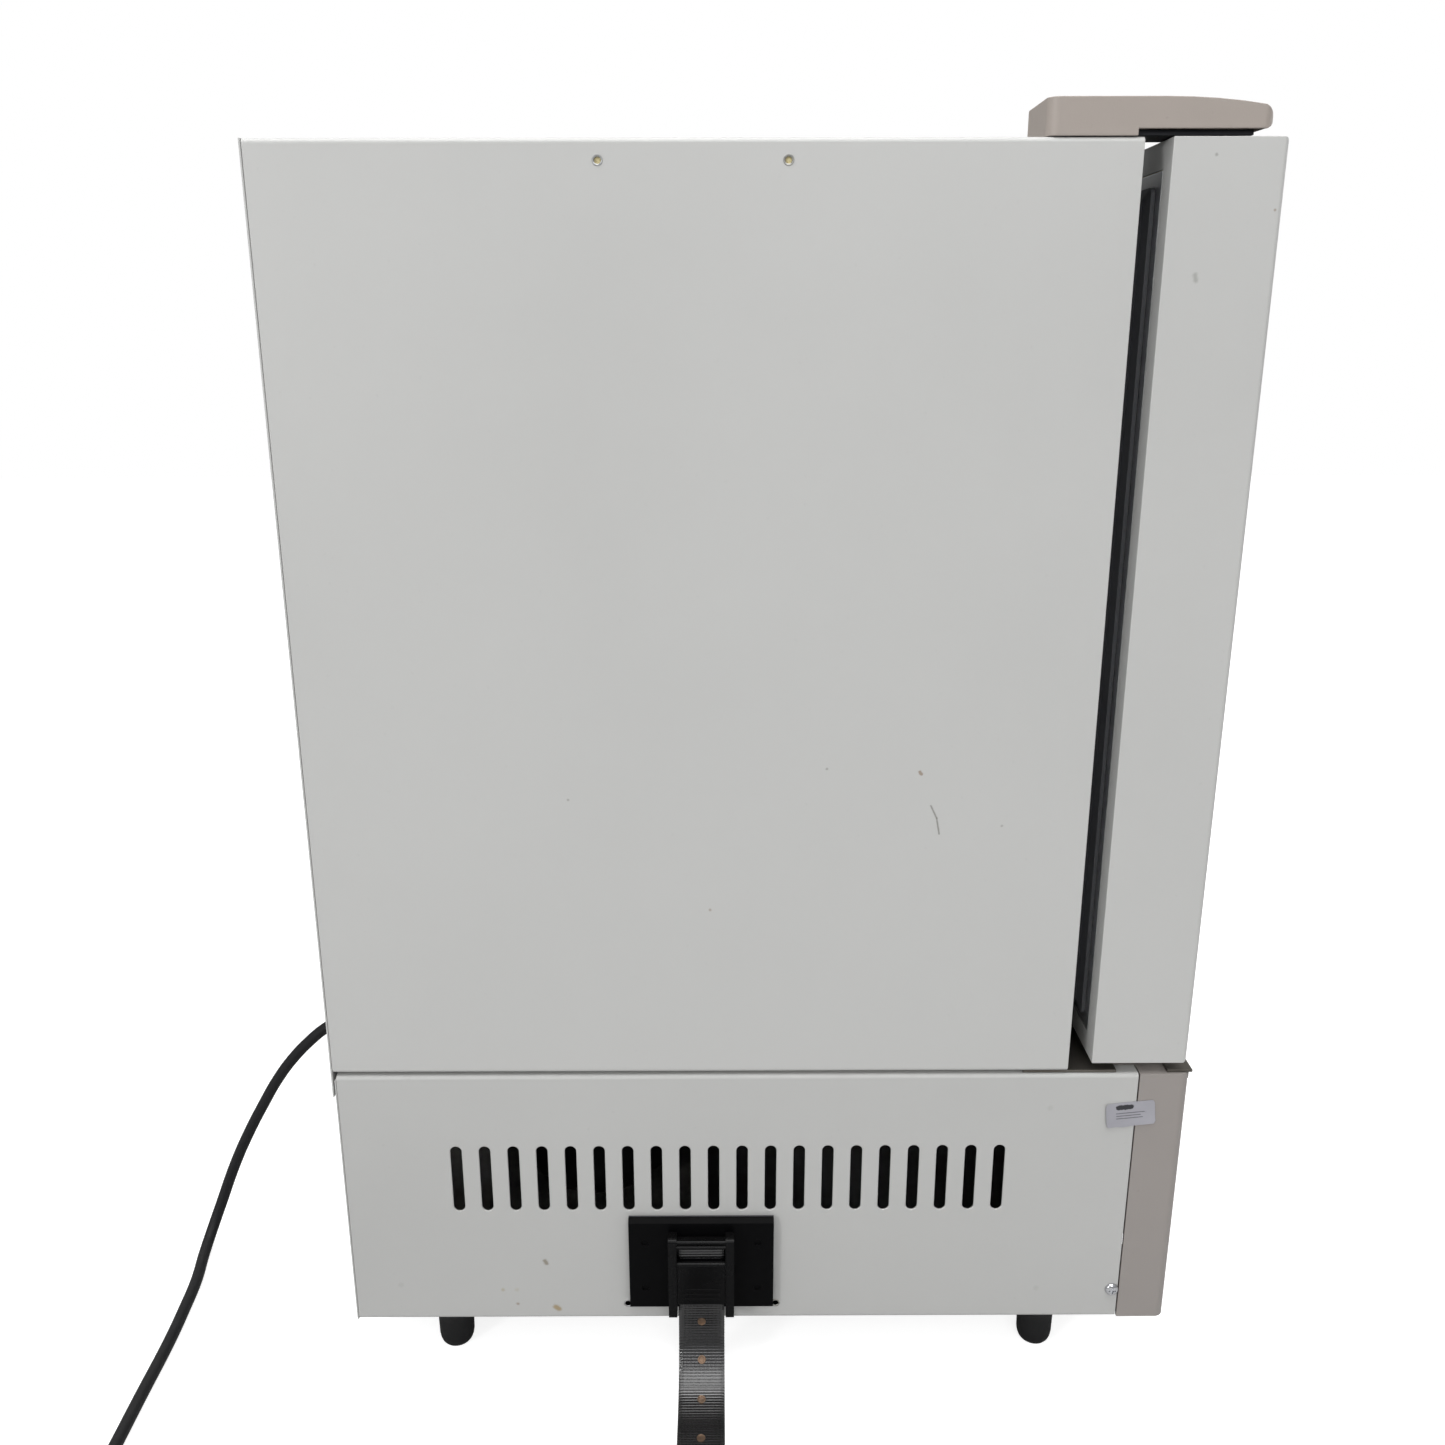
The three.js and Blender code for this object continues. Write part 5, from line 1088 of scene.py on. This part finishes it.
# ---- Lower compartment, rear panel and refrigeration unit ----
# Zinc-plated trays carry a hermetic compressor, a finned condenser with its fan, copper pipes and
# the control board. The rear panel is white sheet steel with vents.
softened("lower_rear_panel", "vented_rear_panel", shaded_panel_paint, 0.0004)
compressor_paint = coated("compressor_paint", srgb(28, 28, 30), 0.32, 0.0014, 0.00012, 0.1, 0.35, 0.08)
copper = metal("copper_pipe", srgb(196, 126, 88), 0.3, streak_size=0.003, spread=0.1,
               tarnish=srgb(120, 72, 50))
softened("compressor", "compressor_can", compressor_paint, 0.0015, 2, 50)
for pipe in ("discharge_tube", "suction_tube", "capillary_and_drier"):
    softened(pipe, pipe.replace("tube", "pipe").replace("capillary_and_drier", "feed_pipe_and_drier"),
             copper, 0)
softened("condenser_fan", "cooling_fan_blades", aluminium, 0.0002, 1)
softened("condenser_fan_motor", "cooling_fan_motor", blackened, 0.0004)
foam = coated("rigid_foam", srgb(220, 206, 158), 0.9, 0.0016, 0.0006, 0.1, 0.0, 0.03)
board, tree, shader, place = new_material("circuit_board")
flat_place = sha(tree, "Mapping", Vector=place, Rotation=(math.pi / 2, 0, 0))
traces = node(tree, "ShaderNodeTexBrick", Vector=flat_place, Scale=60.0, Mortar_Size=0.06,
              Color1=srgb(20, 86, 52), Color2=srgb(24, 98, 60), Mortar=srgb(44, 122, 74))
feed(shader, Base_Color=traces.outputs["Color"], Roughness=0.35, Coat_Weight=0.4)
for cad_name, slot, material in (
        ("insulation_foam", "insulation", foam), ("door_foam", "insulation", foam),
        ("evaporator_coil", "aluminium", aluminium), ("condenser", "aluminium", aluminium),
        ("deck_plate", "zinc_plate", zinc), ("base_pan", "zinc_plate", zinc),
        ("control_board", "board_green", board)):
    carried = frame["nodes"][cad_name]
    carried.data.materials.clear()
    carried.data.materials.append(material)

# ---- Feet ----
# Black rubber buffers with a flange at the top and a rounded edge round a flat tread.
FOOT_HEIGHT, FOOT_RADIUS = 0.0387, 0.0165
foot_tree = turned_part_tree("rubber_feet", [
    (0.0, 0.015), (0.42, 0.015), (0.46, 0.0), (0.54, 0.0), (0.62, 0.015), (0.69, 0.055), (0.745, 0.12),
    (0.775, 0.20), (0.785, 0.42), (0.79, 0.52), (0.80, 0.60), (0.825, 0.68), (0.87, 0.75), (0.94, 0.805),
    (1.0, 0.83), (1.0, 0.97), (0.97, 1.0), (0.0, 1.0),
], sides=40)
feet = [f"foot_{row}_{side}" for row in ("front", "rear") for side in ("left", "right")]
foot_spots = [((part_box(n)[0].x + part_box(n)[1].x) / 2, (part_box(n)[0].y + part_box(n)[1].y) / 2, 0) for n in feet]
foot_rubber = coated("foot_rubber", srgb(12, 12, 13), 0.55, 0.0008, 0.0001, 0.15, 0.05, 0.02, specular=0.3)
turned_parts("rubber_feet", foot_spots, [(0, 0, 1)] * 4, foot_tree, FOOT_RADIUS, FOOT_HEIGHT, foot_rubber,
             "black_rubber", feet, 30)

# ---- Strap anchor ----
# A black moulded plate stuck to the side with foam tape. It carries a buckle with a cam lever
# that clamps the webbing.
anchor_plastic = coated("anchor_plastic", srgb(4, 4, 5), 0.42, 0.0009, 0.00004, 0.12, 0.01, 0.03,
                        specular=0.06)
tape = coated("foam_tape", srgb(60, 60, 64), 0.9, 0.0006, 0.0002, 0.1, 0.0, 0.02)
softened("adhesive_pad", "foam_tape_pad", tape, 0.0002)
softened("anchor_plate", "anchor_plate_cover", anchor_plastic, 0.0007, 3, 30)
buckle_plastic = coated("buckle_plastic", srgb(5, 5, 6), 0.26, 0.0009, 0.00003, 0.12, 0.01, 0.03,
                        specular=0.16)
softened("buckle_frame", "buckle_body", buckle_plastic, 0.0006, 3, 30)
softened("cam_lever", "buckle_cam_lever", buckle_plastic, 0.0005, 3, 30)

# ---- Label ----
# A small metallised film label, stuck a little crooked over the joint of the side and the cover.
# It carries only a plain dark block and plain bars, and its left end has begun to lift.
LABEL_MIDDLE, LABEL_TILT = Vector((SIDE_X, -0.2558, 0.2085)), math.radians(6)
LABEL_WIDTH, LABEL_HEIGHT, LABEL_THICK, LABEL_ROUND = 0.0340, 0.0185, 0.00025, 0.0022
COLUMNS, ROWS = 34, 20


def label_point(u, v, lift):
    """A point of the label, from shares of its width and height. The left end is at u = 0."""
    x, y = (u - 0.5) * LABEL_WIDTH, (v - 0.5) * LABEL_HEIGHT
    short = max(0.0, LABEL_ROUND - min(u, 1 - u) * LABEL_WIDTH)
    half = LABEL_HEIGHT / 2 - (LABEL_ROUND - math.sqrt(max(0.0, LABEL_ROUND ** 2 - short ** 2)))
    y *= half / (LABEL_HEIGHT / 2)
    curl = 0.0011 * max(0.0, 1 - u / 0.22) ** 2 + 0.0005 * max(0.0, 1 - v / 0.3) ** 2
    curl += 0.0003 * max(0.0, 1 - abs(u - 0.45) / 0.12) * max(0.0, 1 - v / 0.5)
    y -= 0.0007 * max(0.0, 1 - abs(u - 0.34) / 0.14) * max(0.0, 1 - v / 0.3)
    c, s = math.cos(LABEL_TILT), math.sin(LABEL_TILT)
    return LABEL_MIDDLE + Vector((-0.0002 - curl - lift, -(x * c - y * s), x * s + y * c))


label = bmesh.new()
sheets = [[[label.verts.new(label_point(i / COLUMNS, j / ROWS, lift)) for i in range(COLUMNS + 1)]
           for j in range(ROWS + 1)] for lift in (0.0, LABEL_THICK)]
for j in range(ROWS):
    for i in range(COLUMNS):
        for layer in sheets:
            label.faces.new((layer[j][i], layer[j][i + 1], layer[j + 1][i + 1], layer[j + 1][i]))
rim = [(0, i) for i in range(COLUMNS)] + [(j, COLUMNS) for j in range(ROWS)]
rim += [(ROWS, i) for i in range(COLUMNS, 0, -1)] + [(j, 0) for j in range(ROWS, 0, -1)]
for (j, i), (m, k) in zip(rim, rim[1:] + rim[:1]):
    label.faces.new((sheets[0][j][i], sheets[0][m][k], sheets[1][m][k], sheets[1][j][i]))


def on_label(u, v):
    return tuple(label_point(u, v, LABEL_THICK))


INK = srgb(34, 34, 38)
label_marks = [(on_label(0.26, 0.80), on_label(0.52, 0.80), 0.0021, 0.75, 0.95, INK)]
for v, end in ((0.55, 0.78), (0.44, 0.70), (0.33, 0.74)):
    label_marks.append((on_label(0.22, v), on_label(end, v), 0.00055, 0.4, 0.65, srgb(70, 70, 76)))
silver = coated("silver_film", srgb(164, 163, 170), 0.34, 0.0011, 0.00003, 0.05, 0.05, 0.02, label_marks)
silver.node_tree.nodes["Principled BSDF"].inputs["Metallic"].default_value = 0.35
finished("rating_label", tidied(label), "machine", silver, smooth=40)

cad_low, cad_high = list(cad_low), list(cad_high)
